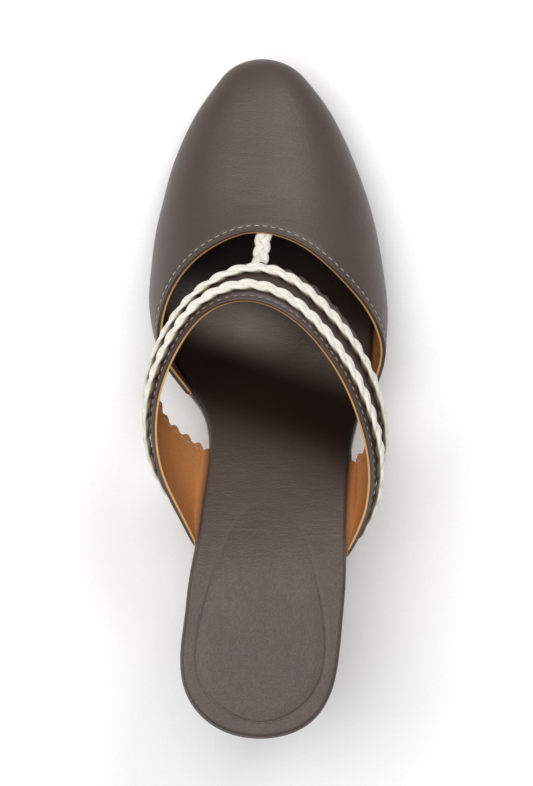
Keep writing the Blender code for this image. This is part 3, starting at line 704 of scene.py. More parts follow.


# Footbed
# A board with a thin foam under one sheet of the taupe leather, which is wrapped round its
# edge. A heel pad is embossed into it: a long drop with a pressed line round it.
# Its shank and toe room carry painted shade, and its ball a painted sheen.

FOOTBED_THICKNESS = 0.0045
FOOTBED_EDGE_RADIUS = 0.0014
FOOTBED_EDGE_STEPS = 5
HEEL_PAD_POINTS = (           # across and along from the seat's middle, toe end first
    (0.0028, 0.0512),
    (0.0130, 0.0450),
    (0.0178, 0.0335),
    (0.0214, 0.0170),
    (0.0222, 0.0000),
    (0.0160, -0.0145),
    (0.0000, -0.0217),
    (-0.0160, -0.0145),
    (-0.0218, 0.0000),
    (-0.0188, 0.0180),
    (-0.0138, 0.0335),
    (-0.0070, 0.0470),
)
HEEL_PAD_PLACES = 480         # on the smooth curve through those points
HEEL_PAD_END = 0.062          # along the shoe, past the whole pad
FOOTBED_TOP_NORMAL = 0.8      # how far up the normals of the footbed's top point, at least
HEEL_PAD_RISE = 0.00022
HEEL_PAD_SHOULDER = 0.0040
PRESSED_LINE_DEPTH = 0.00028
PRESSED_LINE_WIDTH = 0.00048
PRESSED_LINE_FADE = (0.022, 0.050)     # along the shoe, where the pad grows faint
PRESSED_LINE_LOSS = 0.75
# Painted shade: the strap's shadow across the shank and the dark toe room; painted sheen at the ball.
SHANK_PAINTED_SHADE = (0.060, 0.087, 0.096, 0.112)     # along the shoe: from, full, full, to
SHANK_PAINTED_SHADE_SLANT = 0.35       # further back towards the outer side
PAINTED_SHEEN_PATCH = (-0.004, 0.112)
PAINTED_SHEEN_PATCH_REACH = (0.021, 0.015)
TOE_ROOM_PAINTED_SHADE = (0.116, 0.132)
TOE_ROOM_SHADE_SHARE = 0.8
PAINTED_SHEEN_COLOUR = "#74685f"
PAINTED_SHADE_BROWN = "#1c1410"
SHADED_REFLECTION_TINT = "#6e5548"   # tint of the reflections in the painted shade
SHADE_BAND_ROUGHNESS = 0.9
HEEL_END_TURN = 0.42
HEEL_END_RINGS = 250
FORE_RINGS = 120
FOOTBED_COLUMNS = 56


def heel_pad_outline():
    """The heel pad's pressed line as a closed smooth curve."""
    wrapped = HEEL_PAD_POINTS[-3:] + HEEL_PAD_POINTS + HEEL_PAD_POINTS[:3]
    places = np.arange(-3, len(HEEL_PAD_POINTS) + 3)
    across = smooth_curve(places, [point[0] for point in wrapped])
    along = smooth_curve(places, [point[1] for point in wrapped])
    rounds = np.arange(HEEL_PAD_PLACES) / HEEL_PAD_PLACES * len(HEEL_PAD_POINTS)
    return np.array([(across(part), along(part)) for part in rounds])


def smooth_step(value, low, high):
    return ease(np.clip((value - low) / (high - low), 0.0, 1.0))


def trough(away, width):
    """What is left of a pressed line's depth at a distance from its middle, as a share."""
    return np.exp(-(away / width) ** 2)


def heel_pad_height(points):
    """Height that the heel pad adds at places on the footbed: its rise and its line."""
    outline = heel_pad_outline()
    middle = outline.mean(axis=0)
    offsets = points[:, None, :] - outline[None, :, :]
    distances = np.linalg.norm(offsets, axis=2)
    nearest = distances.argmin(axis=1)
    distance = distances.min(axis=1)
    from_middle = outline[nearest] - middle
    inside = np.einsum("ij,ij->i", points - outline[nearest], from_middle) < 0
    signed = np.where(inside, -distance, distance)
    rise = HEEL_PAD_RISE * smooth_step(-signed, 0.0, HEEL_PAD_SHOULDER)
    fade = 1 - PRESSED_LINE_LOSS * smooth_step(points[:, 1], *PRESSED_LINE_FADE)
    return fade * (rise - PRESSED_LINE_DEPTH * trough(signed, PRESSED_LINE_WIDTH))


def points_of(piece):
    points = np.zeros(len(piece.data.vertices) * 3)
    piece.data.vertices.foreach_get("co", points)
    return points.reshape(-1, 3)


def normals_of(piece):
    return np.array([vertex.normal for vertex in piece.data.vertices])


def move_points(piece, points):
    piece.data.vertices.foreach_set("co", points.ravel())
    piece.data.update()


def spread(stops, counts):
    """Places from the first stop to the last, evenly apart between each two of them."""
    places = [stops[:1]]
    for start, end, count in zip(stops, stops[1:], counts):
        places.append(np.linspace(start, end, count)[1:])
    return np.concatenate(places)


def paint_footbed_shade_and_sheen(material):
    """Painted shade where the shank falls off behind the strap, and again inside the toe room.

    The painted shade lies slantwise, as the strap's shadow falls: brown, rougher, with its
    reflections tinted dark. Ahead of it, at the ball of the foot, a paler patch is painted sheen.
    """
    shader = material.node_tree.nodes["Principled BSDF"]
    colour = shader.inputs["Base Color"].links[0].from_socket
    gloss = shader.inputs["Roughness"].links[0].from_socket
    place = add_node(material, "ShaderNodeTexCoord", {}).outputs["Object"]
    turn = math.atan(SHANK_PAINTED_SHADE_SLANT)
    slanted = output(add_node(material, "ShaderNodeMapping", {
        "Vector": place, "Rotation": (0.0, 0.0, turn),
        "Scale": (1 / math.cos(turn), 1 / math.cos(turn), 1.0)}), "Vector")
    fall = rise_along_shoe(material, slanted, *SHANK_PAINTED_SHADE[:2])
    end = rise_along_shoe(material, slanted, *SHANK_PAINTED_SHADE[2:])
    toe = rise_along_shoe(material, slanted, *TOE_ROOM_PAINTED_SHADE, highest=TOE_ROOM_SHADE_SHARE)
    band = add_node(material, "ShaderNodeMath", {"Value": fall}, operation="SUBTRACT")
    both = add_node(
        material, "ShaderNodeMath", {"Value": output(band, "Value")}, operation="ADD", use_clamp=True)
    for math_node, second in ((band, end), (both, toe)):
        material.node_tree.links.new(second, math_node.inputs[1])
    # how much painted shade: the band across the shank and the toe room
    dark = output(both, "Value")
    # painted sheen: a paler patch at the ball, just under the strap's rear edge
    lit_patch_place = add_node(material, "ShaderNodeMapping", {
        "Vector": place, "Scale": (1 / PAINTED_SHEEN_PATCH_REACH[0], 1 / PAINTED_SHEEN_PATCH_REACH[1], 0.0),
        "Location": (-PAINTED_SHEEN_PATCH[0] / PAINTED_SHEEN_PATCH_REACH[0], -PAINTED_SHEEN_PATCH[1] / PAINTED_SHEEN_PATCH_REACH[1], 0.0),
    })
    lit_patch = add_node(material, "ShaderNodeTexGradient", {
        "Vector": output(lit_patch_place, "Vector")}, gradient_type="SPHERICAL")
    with_sheen = add_node(material, "ShaderNodeMix", {
        "Factor": output(lit_patch, "Fac"), "A": colour, "B": linear(PAINTED_SHEEN_COLOUR)}, data_type="RGBA")
    tone = add_node(material, "ShaderNodeMix", {
        "Factor": dark, "A": output(with_sheen, "Result"), "B": linear(PAINTED_SHADE_BROWN),
    }, data_type="RGBA")
    matt = add_node(material, "ShaderNodeMix", {
        "Factor": dark, "A": gloss, "B": SHADE_BAND_ROUGHNESS}, data_type="FLOAT")
    # reflections tinted dark in the painted shade
    shaded_reflection = add_node(material, "ShaderNodeMix", {
        "Factor": dark, "A": linear("#ffffff"), "B": linear(SHADED_REFLECTION_TINT)}, data_type="RGBA")
    set_shader(material, {
        "Base Color": output(tone, "Result"), "Roughness": output(matt, "Result"),
        "Specular Tint": output(shaded_reflection, "Result")})


def model_footbed():
    bottom = OUTSOLE_THICKNESS + GAP
    top = bottom + FOOTBED_THICKNESS
    edge = rounded_edge(0.0, bottom, top, FOOTBED_EDGE_RADIUS, FOOTBED_EDGE_STEPS)
    across_top = [
        (FOOTBED_EDGE_RADIUS, top, 1 - i / FOOTBED_COLUMNS) for i in range(FOOTBED_COLUMNS)]
    profile = across_top + edge[2:]
    turns = spread((0.0, HEEL_END_TURN, 1.0), (HEEL_END_RINGS, FORE_RINGS))
    piece = grid_piece("footbed_leather", [layer_ring(turn, profile) for turn in turns], closed=True)
    points = points_of(piece)
    facing_up = normals_of(piece)[:, 2] > FOOTBED_TOP_NORMAL
    on_top = np.nonzero(facing_up & (points[:, 1] < HEEL_PAD_END))[0]
    points[on_top, 2] += heel_pad_height(points[on_top, :2])
    move_points(piece, points)
    leather = finished_leather(
        "calf leather wrapped over the footbed", ("#382c27", "#43362f", "#54453d"),
        pebble_height=0.04 * MM, crease=1.7 * MM, crease_height=0.17 * MM, roughness=(0.40, 0.56))
    # painted shade and sheen laid over the leather's own tone
    paint_footbed_shade_and_sheen(leather)
    finish_piece(piece, "insole", [leather], smooth_degrees=50)


model_footbed()


# Vamp
# The closed front of the shoe: one piece of taupe calf over a tan lining, lasted round the
# toe and turned in under the footbed. Lining and calf are stitched together and cut level
# at the throat, so that the lining's pale cut edge shows as a thin tan line.

VAMP_SIDE_BULGE = 0.0040
VAMP_WIDEST_HEIGHT = 0.0150
VAMP_RIDGE_HEIGHT = 0.0425
WIDEST_TURN = 0.62
ROUNDNESS = 2.15

# Sections of the vamp. Columns: share of the length, inner and outer bulge as shares of
# VAMP_SIDE_BULGE, inner and outer widest height as shares of VAMP_WIDEST_HEIGHT, ridge as a
# share of VAMP_RIDGE_HEIGHT and how far across the ridge lies, from the inner side.

VAMP_SECTIONS = (
    (0.482, 0.10, 0.20, 0.90, 0.90, 0.90, 0.370),
    (0.517, 0.20, 0.45, 0.95, 0.93, 0.97, 0.365),
    (0.562, 0.48, 0.60, 1.00, 0.95, 1.04, 0.365),
    (0.603, 0.60, 0.62, 0.93, 0.93, 1.08, 0.370),
    (0.649, 0.65, 0.58, 0.83, 0.86, 1.08, 0.375),
    (0.705, 0.53, 0.58, 0.77, 0.80, 1.01, 0.410),
    (0.761, 0.44, 0.58, 0.73, 0.77, 0.88, 0.450),
    (0.830, 0.52, 0.55, 0.70, 0.73, 0.745, 0.480),
    (0.894, 0.50, 0.50, 0.67, 0.67, 0.615, 0.500),
    (0.950, 0.45, 0.45, 0.60, 0.60, 0.485, 0.500),
    (0.984, 0.46, 0.46, 0.57, 0.57, 0.370, 0.500),
    (1.000, 0.56, 0.56, 0.53, 0.53, 0.188, 0.500),
)

# The throat, drawn on the vamp. Columns: how far round from the ridge, with the inner side
# minus, and share of the footbed's length.

THROAT_EDGE = (
    (-1.00, 0.500),
    (-0.85, 0.522),
    (-0.70, 0.544),
    (-0.62, 0.558),
    (-0.54, 0.582),
    (-0.48, 0.603),
    (-0.40, 0.637),
    (-0.32, 0.675),
    (-0.24, 0.705),
    (-0.15, 0.728),
    (-0.07, 0.742),
    (0.00, 0.747),
    (0.08, 0.740),
    (0.16, 0.723),
    (0.24, 0.696),
    (0.32, 0.665),
    (0.40, 0.632),
    (0.48, 0.599),
    (0.54, 0.577),
    (0.62, 0.552),
    (0.72, 0.534),
    (0.86, 0.510),
    (1.00, 0.486),
)

# Soft creases ahead of the throat. Columns: across and along at one end, the same at the
# other end, depth and width.

VAMP_CREASES = (
    (-0.0090, 0.1555, 0.0080, 0.1560, 0.00012, 0.0016),
    (0.0010, 0.1600, 0.0150, 0.1575, 0.00008, 0.0020),
    (-0.0200, 0.1420, -0.0120, 0.1520, 0.00010, 0.0022),
    (0.0280, 0.1290, 0.0330, 0.1400, 0.00010, 0.0024),
)

CALF_THICKNESS = 0.0011
LINING_THICKNESS = 0.0007
LINING_OVERHANG = 0.0010      # share by which the lining's cut shows past the calf's
FOLD_RADIUS = 0.0011
CONTACT_SHADE = "contact_shade"             # how much painted contact shadow the lining gets beside the footbed's edge
FOLD_TUCK = 0.0050            # how far the fold under the footbed is modelled
CUT_ROUND = 0.0002
THROAT_STITCH_INSET = 0.0020
CREASED_EDGE_INSET = 0.0010   # the hot-pressed line beside the throat's cut
CREASED_EDGE_DEPTH = 0.00016
CREASED_EDGE_WIDTH = 0.00030
STITCH_PITCH = 0.0029
STITCH_LENGTH = 0.0021
THREAD_THICKNESS = 0.00040
STITCH_PRESS = 0.00014
STITCH_PRESS_WIDTH = 0.00055
STITCH_SIDES = 8
STITCH_RINGS = 6
STITCH_DIP = 0.9              # how far a stitch's ends dive in, in thicknesses of the thread
STITCH_DIP_POWER = 4          # the higher, the closer to the ends it dives
STITCH_SEAT = 0.25            # how far its middle stands up, in the same
LINE_PLACES = 90              # on a row of stitches, and on the middle line of a braid
STITCH_LINE_END = 0.985       # place round where a row of stitches ends
WALK_STEP = 0.0010
VAMP_FOLD_PLACE = 0.955       # place round where the calf's last narrow column lies
TURNED_IN = (1.5, 2.0)        # places round of what is folded in under the footbed
CALF_COLUMNS = (50, 12)       # from the ridge to the widest place, and on down the side
LINING_COLUMNS = (36, 10)     # the same for the lining
THROAT_STRIP = 0.055          # part of the run to the toe where the rows lie close
CALF_ROWS = (20, 101)         # in that strip, and on to the toe
LINING_ROWS = (0.004, 0.995, 70)     # first and last part of the run, and how many
THROAT_LINE_PLACES = 500

VAMP_TURNS = [turn_of_share(row[0]) for row in VAMP_SECTIONS]


def vamp_column(column, size):
    return smooth_curve(VAMP_TURNS, [row[column] * size for row in VAMP_SECTIONS])


vamp_bulge = {-1: vamp_column(1, VAMP_SIDE_BULGE), 1: vamp_column(2, VAMP_SIDE_BULGE)}
vamp_height = {-1: vamp_column(3, VAMP_WIDEST_HEIGHT), 1: vamp_column(4, VAMP_WIDEST_HEIGHT)}
vamp_ridge = vamp_column(5, VAMP_RIDGE_HEIGHT)
vamp_lean = vamp_column(6, 1.0)
throat_turn = smooth_curve(
    [row[0] for row in THROAT_EDGE], [turn_of_share(row[1]) for row in THROAT_EDGE])


def side_of(around):
    return -1 if around < 0 else 1


def feather_point(turn, side, tuck=0.0):
    """Where the upper's outside meets the outsole, or lies under the footbed past it."""
    x, y = inset_point(turn, side, tuck - LEDGE)
    return over_sole(x, y, OUTSOLE_THICKNESS + GAP)


def widest_point(turn, side):
    across, along = outward_of(turn, side)
    direction = unit(np.array([across, max(along, 0.0)]))
    offset = np.array([*(direction * vamp_bulge[side](turn)), vamp_height[side](turn)])
    return feather_point(turn, side) + offset


def vamp_point(turn, around):
    """The vamp's outside: around runs from -1 at the inner feather to 1 at the outer."""
    side = side_of(around)
    reach = abs(around)
    feather = feather_point(turn, side)
    widest = widest_point(turn, side)
    if reach > WIDEST_TURN:
        rise = (1 - reach) / (1 - WIDEST_TURN)
        out = 1 - (1 - rise) ** 2
        x, y = feather[:2] + (widest[:2] - feather[:2]) * out
        return np.array([x, y, feather[2] + (widest[2] - feather[2]) * rise])
    inner = widest_point(turn, -1)
    outer = widest_point(turn, 1)
    ridge = inner + (outer - inner) * vamp_lean(turn)
    base = (feather_point(turn, -1)[2] + feather_point(turn, 1)[2]) / 2
    angle = math.pi / 2 * (WIDEST_TURN - reach) / WIDEST_TURN
    across = math.cos(angle) ** (2 / ROUNDNESS)
    up = math.sin(angle) ** (2 / ROUNDNESS)
    x, y = ridge[:2] + (widest[:2] - ridge[:2]) * across
    return np.array([x, y, widest[2] + (base + vamp_ridge(turn) - widest[2]) * up])


def surface_slopes(surface, u, v):
    by_u = (surface(u + STEP, v) - surface(u - STEP, v)) / (2 * STEP)
    by_v = (surface(u, v + STEP) - surface(u, v - STEP)) / (2 * STEP)
    return by_u, by_v


def surface_normal(surface, u, v):
    """Outward normal, with u along the shoe or across the strap and v round it."""
    by_u, by_v = surface_slopes(surface, u, v)
    normal = unit(np.cross(by_v, by_u))
    return normal if surface is vamp_point else -normal


def walk(surface, u, v, direction, distance):
    """Walk over a surface, starting in a direction, and give the place reached."""
    normal = surface_normal(surface, u, v)
    heading = unit(direction - normal * np.dot(direction, normal))
    steps = max(1, round(abs(distance) / WALK_STEP))
    for _ in range(steps):
        slopes = np.stack(surface_slopes(surface, u, v), axis=1)
        change = np.linalg.lstsq(slopes, heading * distance / steps, rcond=None)[0]
        u += float(change[0])
        v += float(change[1])
        normal = surface_normal(surface, u, v)
        heading = unit(heading - normal * np.dot(heading, normal))
    return u, v


def walk_in(surface, u, v, along, inward, distance):
    """The place at a distance square in from an edge that runs along, to its inward side."""
    square = np.cross(surface_normal(surface, u, v), along)
    if np.dot(square, inward) < 0:
        square = -square
    return walk(surface, u, v, square, distance)


def upper_places(half):
    """Places round the upper from the inner margin over the ridge to the outer one."""
    return [-place for place in reversed(half[1:])] + list(half)


def vamp_place(part, around):
    """A place of the calf, part from throat to toe; past 1 round it is turned in."""
    side = side_of(around)
    edge = throat_turn(clamp(around, -1.0, 1.0))
    turn = edge * (1 - part) + part
    if abs(around) > 1:
        return feather_point(turn, side, (abs(around) - 1) * FOLD_TUCK)
    return vamp_point(turn, around)


def shift_out(piece, amounts):
    """Moves each point along its own normal by its amount."""
    move_points(piece, points_of(piece) + normals_of(piece) * amounts[:, None])


def search_tree(places):
    """A tree that finds the nearest of the places."""
    tree = KDTree(len(places))
    for i, place in enumerate(places):
        tree.insert(place, i)
    tree.balance()
    return tree


def distances_to(points, line):
    """How far each point lies from a line given by close places."""
    tree = search_tree(line)
    return np.array([tree.find(point)[2] for point in points])


def crease_depths(points, creases):
    """Soft troughs: each runs between two places, is deepest midway and fades out."""
    depths = np.zeros(len(points))
    for x1, y1, x2, y2, depth, width in creases:
        start = np.array([x1, y1])
        run = np.array([x2, y2]) - start
        along = np.clip((points[:, :2] - start) @ run / (run @ run), 0.0, 1.0)
        away = np.linalg.norm(points[:, :2] - (start + along[:, None] * run), axis=1)
        depths += depth * np.sin(math.pi * along) * trough(away, width)
    return depths


def lengths_along(places):
    """How far along a line each of its places lies."""
    steps = np.linalg.norm(np.diff(np.asarray(places)[:, :3], axis=0), axis=1)
    return np.concatenate([[0.0], np.cumsum(steps)])


def line_evenly(places, pitch):
    """Places, and what goes with them, spread evenly along a line."""
    places = np.asarray(places)
    lengths = lengths_along(places)
    count = max(1, round(lengths[-1] / pitch))
    marks = (np.arange(count) + 0.5) * lengths[-1] / count
    return np.stack([np.interp(marks, lengths, column) for column in places.T], axis=1)


def join_pieces(pieces, name):
    """Joins like pieces into the first of them."""
    deselect_all()
    for piece in pieces:
        piece.select_set(True)
    bpy.context.view_layer.objects.active = pieces[0]
    bpy.ops.object.join()
    pieces[0].name = name
    return pieces[0]


def lay_stitches(name, line, node, thread):
    """Stitches along a line of (x, y, z, normal): one is modelled, the rest are its copies."""
    stitches = line_evenly(line, STITCH_PITCH)
    deselect_all()
    bpy.ops.mesh.primitive_uv_sphere_add(
        segments=STITCH_SIDES, ring_count=STITCH_RINGS, radius=0.5)
    first = bpy.context.active_object
    bpy.ops.object.mode_set(mode="EDIT")
    bpy.ops.mesh.select_all(action="SELECT")
    bpy.ops.transform.rotate(value=math.pi / 2, orient_axis="Y", center_override=(0, 0, 0))
    bpy.ops.transform.resize(value=(STITCH_LENGTH, THREAD_THICKNESS, THREAD_THICKNESS))
    bpy.ops.object.mode_set(mode="OBJECT")
    for vertex in first.data.vertices:
        to_end = 2 * vertex.co.x / STITCH_LENGTH
        vertex.co.z -= THREAD_THICKNESS * STITCH_DIP * to_end**STITCH_DIP_POWER
    copies = []
    for i, stitch in enumerate(stitches):
        before = stitches[max(i - 1, 0)][:3]
        after = stitches[min(i + 1, len(stitches) - 1)][:3]
        along = Vector(after - before).normalized()
        up = Vector(stitch[3:6]).normalized()
        across = up.cross(along).normalized()
        up = along.cross(across)
        copy = first.copy()
        copy.data = first.data.copy()
        bpy.context.scene.collection.objects.link(copy)
        middle = Vector(stitch[:3]) + up * (THREAD_THICKNESS * STITCH_SEAT - STITCH_PRESS)
        for vertex in copy.data.vertices:
            vertex.co = middle + along * vertex.co.x + across * vertex.co.y + up * vertex.co.z
        copies.append(copy)
    deselect_all()
    bpy.data.objects.remove(first, do_unlink=True)
    finish_piece(join_pieces(copies, name), node, [thread], smooth_degrees=60)


def sewing_thread(name, colours):
    """Waxed polyester thread, two-ply: its plies show as a fine uneven shade."""
    return mottled_finish(
        name, colours, grain=0.35 * MM, relief=0.08 * MM, strength=0.7, roughness=0.6)


def lining_leather():
    """Aniline pigskin lining: warm tan, matt, cloudy, with painted contact shadow beside the footbed.
    """
    material = new_material("aniline pigskin lining")
    place = add_node(material, "ShaderNodeTexCoord", {}).outputs["Object"]
    tone = add_mottle(material, place, 9 * MM, 4.0, ("#9b6030", "#b2743d"))[0]
    pores = add_node(material, "ShaderNodeTexVoronoi", {
        "Vector": place, "Scale": 1 / (0.9 * MM)}, feature="F1")
    pore_mask = add_node(material, "ShaderNodeMapRange", {
        "Value": output(pores, "Distance"), "From Max": 0.35}, interpolation_type="SMOOTHSTEP")
    pored = add_node(material, "ShaderNodeMix", {
        "Factor": output(pore_mask, "Result"), "A": linear("#7d4c26"), "B": tone,
    }, data_type="RGBA")
    contact_shade = add_node(material, "ShaderNodeAttribute", {}, attribute_name=CONTACT_SHADE)
    # painted contact shadow where the lining meets the footbed's edge
    contact_shaded = add_node(material, "ShaderNodeMix", {
        "Factor": output(contact_shade, "Fac"), "A": output(pored, "Result"), "B": linear("#2e1c10"),
    }, data_type="RGBA")
    bump = add_node(material, "ShaderNodeBump", {
        "Height": output(pore_mask, "Result"), "Distance": 0.04 * MM, "Strength": 0.8})
    set_shader(material, {
        "Base Color": output(contact_shaded, "Result"), "Roughness": 0.62,
        "Normal": output(bump, "Normal")})
    return material


def raw_cut_edge():
    """The lining's cut edge: undyed fibre, paler than its face and quite matt."""
    return mottled_finish("raw cut edge of the lining", ("#b58550", "#cca572"), grain=0.8 * MM,
                          relief=0.05 * MM, strength=0.8, roughness=0.75, detail=3.0)


UPPER_CALF = finished_leather("satin-finished calf leather", TAUPE_TONES)
LINING = lining_leather()
LINING_EDGE = raw_cut_edge()
STITCH_THREAD = sewing_thread("waxed beige thread", ("#8f8478", "#b0a598"))
# a greyer copy of the thread, for the strap's back edge
GREYER_THREAD = sewing_thread("waxed thread, greyer", ("#7b7169", "#93887e"))

THROAT_LINE = [
    vamp_point(throat_turn(place), place) for place in np.linspace(-1.0, 1.0, THROAT_LINE_PLACES)]


def thicken_calf(piece):
    """Gives a sheet the calf's thickness, inwards, and softens its cut edge."""
    apply_modifier(piece, "calf", "SOLIDIFY", thickness=CALF_THICKNESS, offset=-1.0)
    round_edges(piece, "cut edge", CUT_ROUND, segments=2, degrees=60)


def model_vamp_calf():
    half = spread((0.0, WIDEST_TURN, VAMP_FOLD_PLACE), CALF_COLUMNS)
    places = upper_places([*half, 1.0, *TURNED_IN])
    parts = spread((0.0, THROAT_STRIP, 1.0), CALF_ROWS)
    rows = [[vamp_place(part, around) for around in places] for part in parts]
    piece = grid_piece("vamp_calf", rows, outward=(0, 0, 1))
    points = points_of(piece)
    from_edge = distances_to(points, THROAT_LINE)
    press = STITCH_PRESS * trough(from_edge - THROAT_STITCH_INSET, STITCH_PRESS_WIDTH)
    press += CREASED_EDGE_DEPTH * trough(from_edge - CREASED_EDGE_INSET, CREASED_EDGE_WIDTH)
    shift_out(piece, -press - crease_depths(points, VAMP_CREASES))
    round_edges(piece, "fold at the feather", FOLD_RADIUS, segments=4, degrees=50)
    thicken_calf(piece)
    finish_piece(piece, "vamp", [UPPER_CALF], smooth_degrees=50)


def thicken_lining(piece):
    """Moves a sheet in by the calf and thickens it, with the rim in the cut edge's finish."""
    bpy.ops.object.mode_set(mode="EDIT")
    bpy.ops.mesh.select_all(action="SELECT")
    bpy.ops.transform.shrink_fatten(value=-CALF_THICKNESS)
    bpy.ops.object.mode_set(mode="OBJECT")
    piece.data.materials.append(LINING)
    piece.data.materials.append(LINING_EDGE)
    apply_modifier(piece, "lining", "SOLIDIFY", thickness=LINING_THICKNESS, offset=-1.0,
                   material_offset_rim=1)


def model_vamp_lining():
    places = upper_places(spread((0.0, WIDEST_TURN, 1.0), LINING_COLUMNS))
    parts = [-LINING_OVERHANG, *np.linspace(*LINING_ROWS)]
    rows = [[vamp_place(part, around) for around in places] for part in parts]
    piece = grid_piece("vamp_lining", rows, outward=(0, 0, 1))
    thicken_lining(piece)
    finish_piece(piece, "vamp", [], smooth_degrees=50)


def throat_stitch_line():
    """Places on the vamp at a distance ahead of its throat, each with its normal."""
    line = []
    for around in np.linspace(-STITCH_LINE_END, STITCH_LINE_END, LINE_PLACES):
        before, after = [
            vamp_point(throat_turn(place), place) for place in (around - STEP, around + STEP)]
        place = walk_in(vamp_point, throat_turn(around), around, along=after - before,
                        inward=(0.0, 1.0, 0.0), distance=THROAT_STITCH_INSET)
        line.append([*vamp_point(*place), *surface_normal(vamp_point, *place)])
    return line


model_vamp_calf()
model_vamp_lining()
lay_stitches("throat_stitching", throat_stitch_line(), "vamp", STITCH_THREAD)


# Instep strap
# One arched band of the same calf over the tan lining, from the outer waist over the instep
# to the inner waist. Its front edge is pinked in small rounded teeth; its back edge is
# stitched and cut like the throat. Both ends are turned in under the footbed.

STRAP_HALF_WIDTH = 0.0380
STRAP_THROAT_GAP = 0.0118
STRAP_HEIGHT = 0.0580
STRAP_ROUNDING = 0.0015

# Front and back edge of the strap, a row per place round it, inner side first. Columns:
# place round, then front edge and back edge, each as a share of STRAP_HALF_WIDTH across, of
# the strap's reach ahead of its outer base's back end and of STRAP_HEIGHT up.

STRAP_ROWS = (
    (-1.00, -0.490, 0.356, 0.550, -0.615, 0.040, 0.880),
    (-0.84, -0.680, 0.415, 0.575, -0.745, 0.158, 0.955),
    (-0.68, -0.845, 0.467, 0.605, -0.905, 0.288, 1.005),
    (-0.52, -0.940, 0.549, 0.645, -0.975, 0.440, 1.035),
    (-0.38, -0.925, 0.668, 0.690, -0.925, 0.586, 1.045),
    (-0.25, -0.775, 0.807, 0.745, -0.770, 0.722, 1.035),
    (-0.12, -0.475, 0.940, 0.795, -0.500, 0.843, 1.012),
    (0.00, -0.070, 1.010, 0.815, -0.120, 0.886, 1.000),
    (0.12, 0.320, 0.978, 0.805, 0.250, 0.838, 1.010),
    (0.25, 0.650, 0.886, 0.775, 0.555, 0.733, 1.030),
    (0.38, 0.905, 0.760, 0.730, 0.800, 0.594, 1.048),
    (0.52, 1.070, 0.615, 0.680, 0.970, 0.422, 1.045),
    (0.68, 1.115, 0.475, 0.630, 1.025, 0.263, 1.010),
    (0.84, 1.020, 0.373, 0.600, 0.960, 0.117, 0.950),
    (1.00, 0.890, 0.314, 0.590, 0.830, 0.000, 0.890),
)

# Where the strap's bases lie on the feather edge, front and back, as shares of the length.

STRAP_BASES = {
    -1: (0.411, 0.275),
    1: (0.395, 0.258),
}
STRAP_TURN_DOWN = 0.76
ROUNDING_FADE = 4             # power by which the strap's rounding fades towards its bases
TOOTH_PITCH = 0.0053
TOOTH_DEPTH = 0.0017
TOOTH_SET_BACK = 0.0007        # from the strap's front edge to the bottom of the valleys
TOOTH_COLUMNS = 10
TOOTH_ROWS = (0.0, 0.025, 0.05)        # across the strap, from the teeth's line to their root
STRAP_STITCH_INSET = 0.0016
LINING_STITCH_ROOT = 0.0016            # from the teeth's line to the row inside the strap
BRAID_SHIFT_END = 0.35                 # place round the strap where its braids lie furthest back
BACK_END_TUCK = {-1: 0.0013, 1: 0.0020}        # the back ends run in under the footbed's edge
CONTACT_SHADE_DISTANCES = (0.0012, 0.0031)       # painted contact shadow from full to none, off the footbed's edge over the strap's lining
FOOTBED_EDGE_PLACES = 90
STRAP_STITCH_END = 0.955               # place round where the back edge's stitches end
STRAP_CALF_ROWS = 36                   # across the strap, behind the teeth
STRAP_LINING_ROWS = 20
STRAP_LINING_OVERHANG = 0.0050         # share across by which the lining's cut shows at the back
STRAP_FINE_PLACES = 600
STITCH_LINE_STEP = 0.3 * MM            # between the places that the pressed line follows

STRAP_PLACES = [row[0] for row in STRAP_ROWS]
STRAP_BASE_Y = BACK_Y + FOOTBED_LENGTH * STRAP_BASES[1][1]
STRAP_REACH = y_of_turn(throat_turn(0.0)) - STRAP_THROAT_GAP - STRAP_BASE_Y


def strap_edge(columns):
    sizes = (STRAP_HALF_WIDTH, STRAP_REACH, STRAP_HEIGHT)
    starts = (0.0, STRAP_BASE_Y, 0.0)
    curves = []
    for column, size, start in zip(columns, sizes, starts):
        curves.append(smooth_curve(STRAP_PLACES, [start + row[column] * size for row in STRAP_ROWS]))
    return lambda around: np.array([curve(around) for curve in curves])


strap_front = strap_edge((1, 2, 3))
strap_back = strap_edge((4, 5, 6))


def band_point(across, around):
    """The strap as a flat band, front edge at 0 to back edge at 1, and what rounds it."""
    front = strap_front(around)
    back = strap_back(around)
    middle_before = (strap_front(around - STEP) + strap_back(around - STEP)) / 2
    middle_after = (strap_front(around + STEP) + strap_back(around + STEP)) / 2
    outward = unit(np.cross(middle_after - middle_before, front - back))
    return front + (back - front) * across, outward * STRAP_ROUNDING * 4 * across * (1 - across)


def strap_base_point(across, side, tuck=0.0):
    front, back = STRAP_BASES[side]
    turn = turn_of_share(front + (back - front) * across)
    return feather_point(turn, side, tuck + BACK_END_TUCK[side] * across**2)


def strap_point(across, around):
    """The strap's outside, turned down into its two bases on the feather edge."""
    side = side_of(around)
    point, rounding = band_point(across, around)
    near_base = clamp((abs(around) - STRAP_TURN_DOWN) / (1 - STRAP_TURN_DOWN), 0.0, 1.0)
    if near_base == 0:
        return point + rounding
    to_base = strap_base_point(across, side) - point
    return point + to_base * ease(near_base) + rounding * (1 - near_base**ROUNDING_FADE)


def strap_place(across, around):
    """A place of the strap's leather; past 1 round it is turned in under the footbed."""
    if abs(around) <= 1:
        return strap_point(across, around)
    side = side_of(around)
    return strap_base_point(across, side, (abs(around) - 1) * FOLD_TUCK)


def strap_inset(edge, around, inset):
    """The place on the strap at a distance in from its front (0) or back (1) edge."""
    along = strap_point(edge, around + STEP) - strap_point(edge, around - STEP)
    to_other_edge = strap_point(1 - edge, around) - strap_point(edge, around)
    return walk_in(strap_point, edge, around, along, to_other_edge, inset)


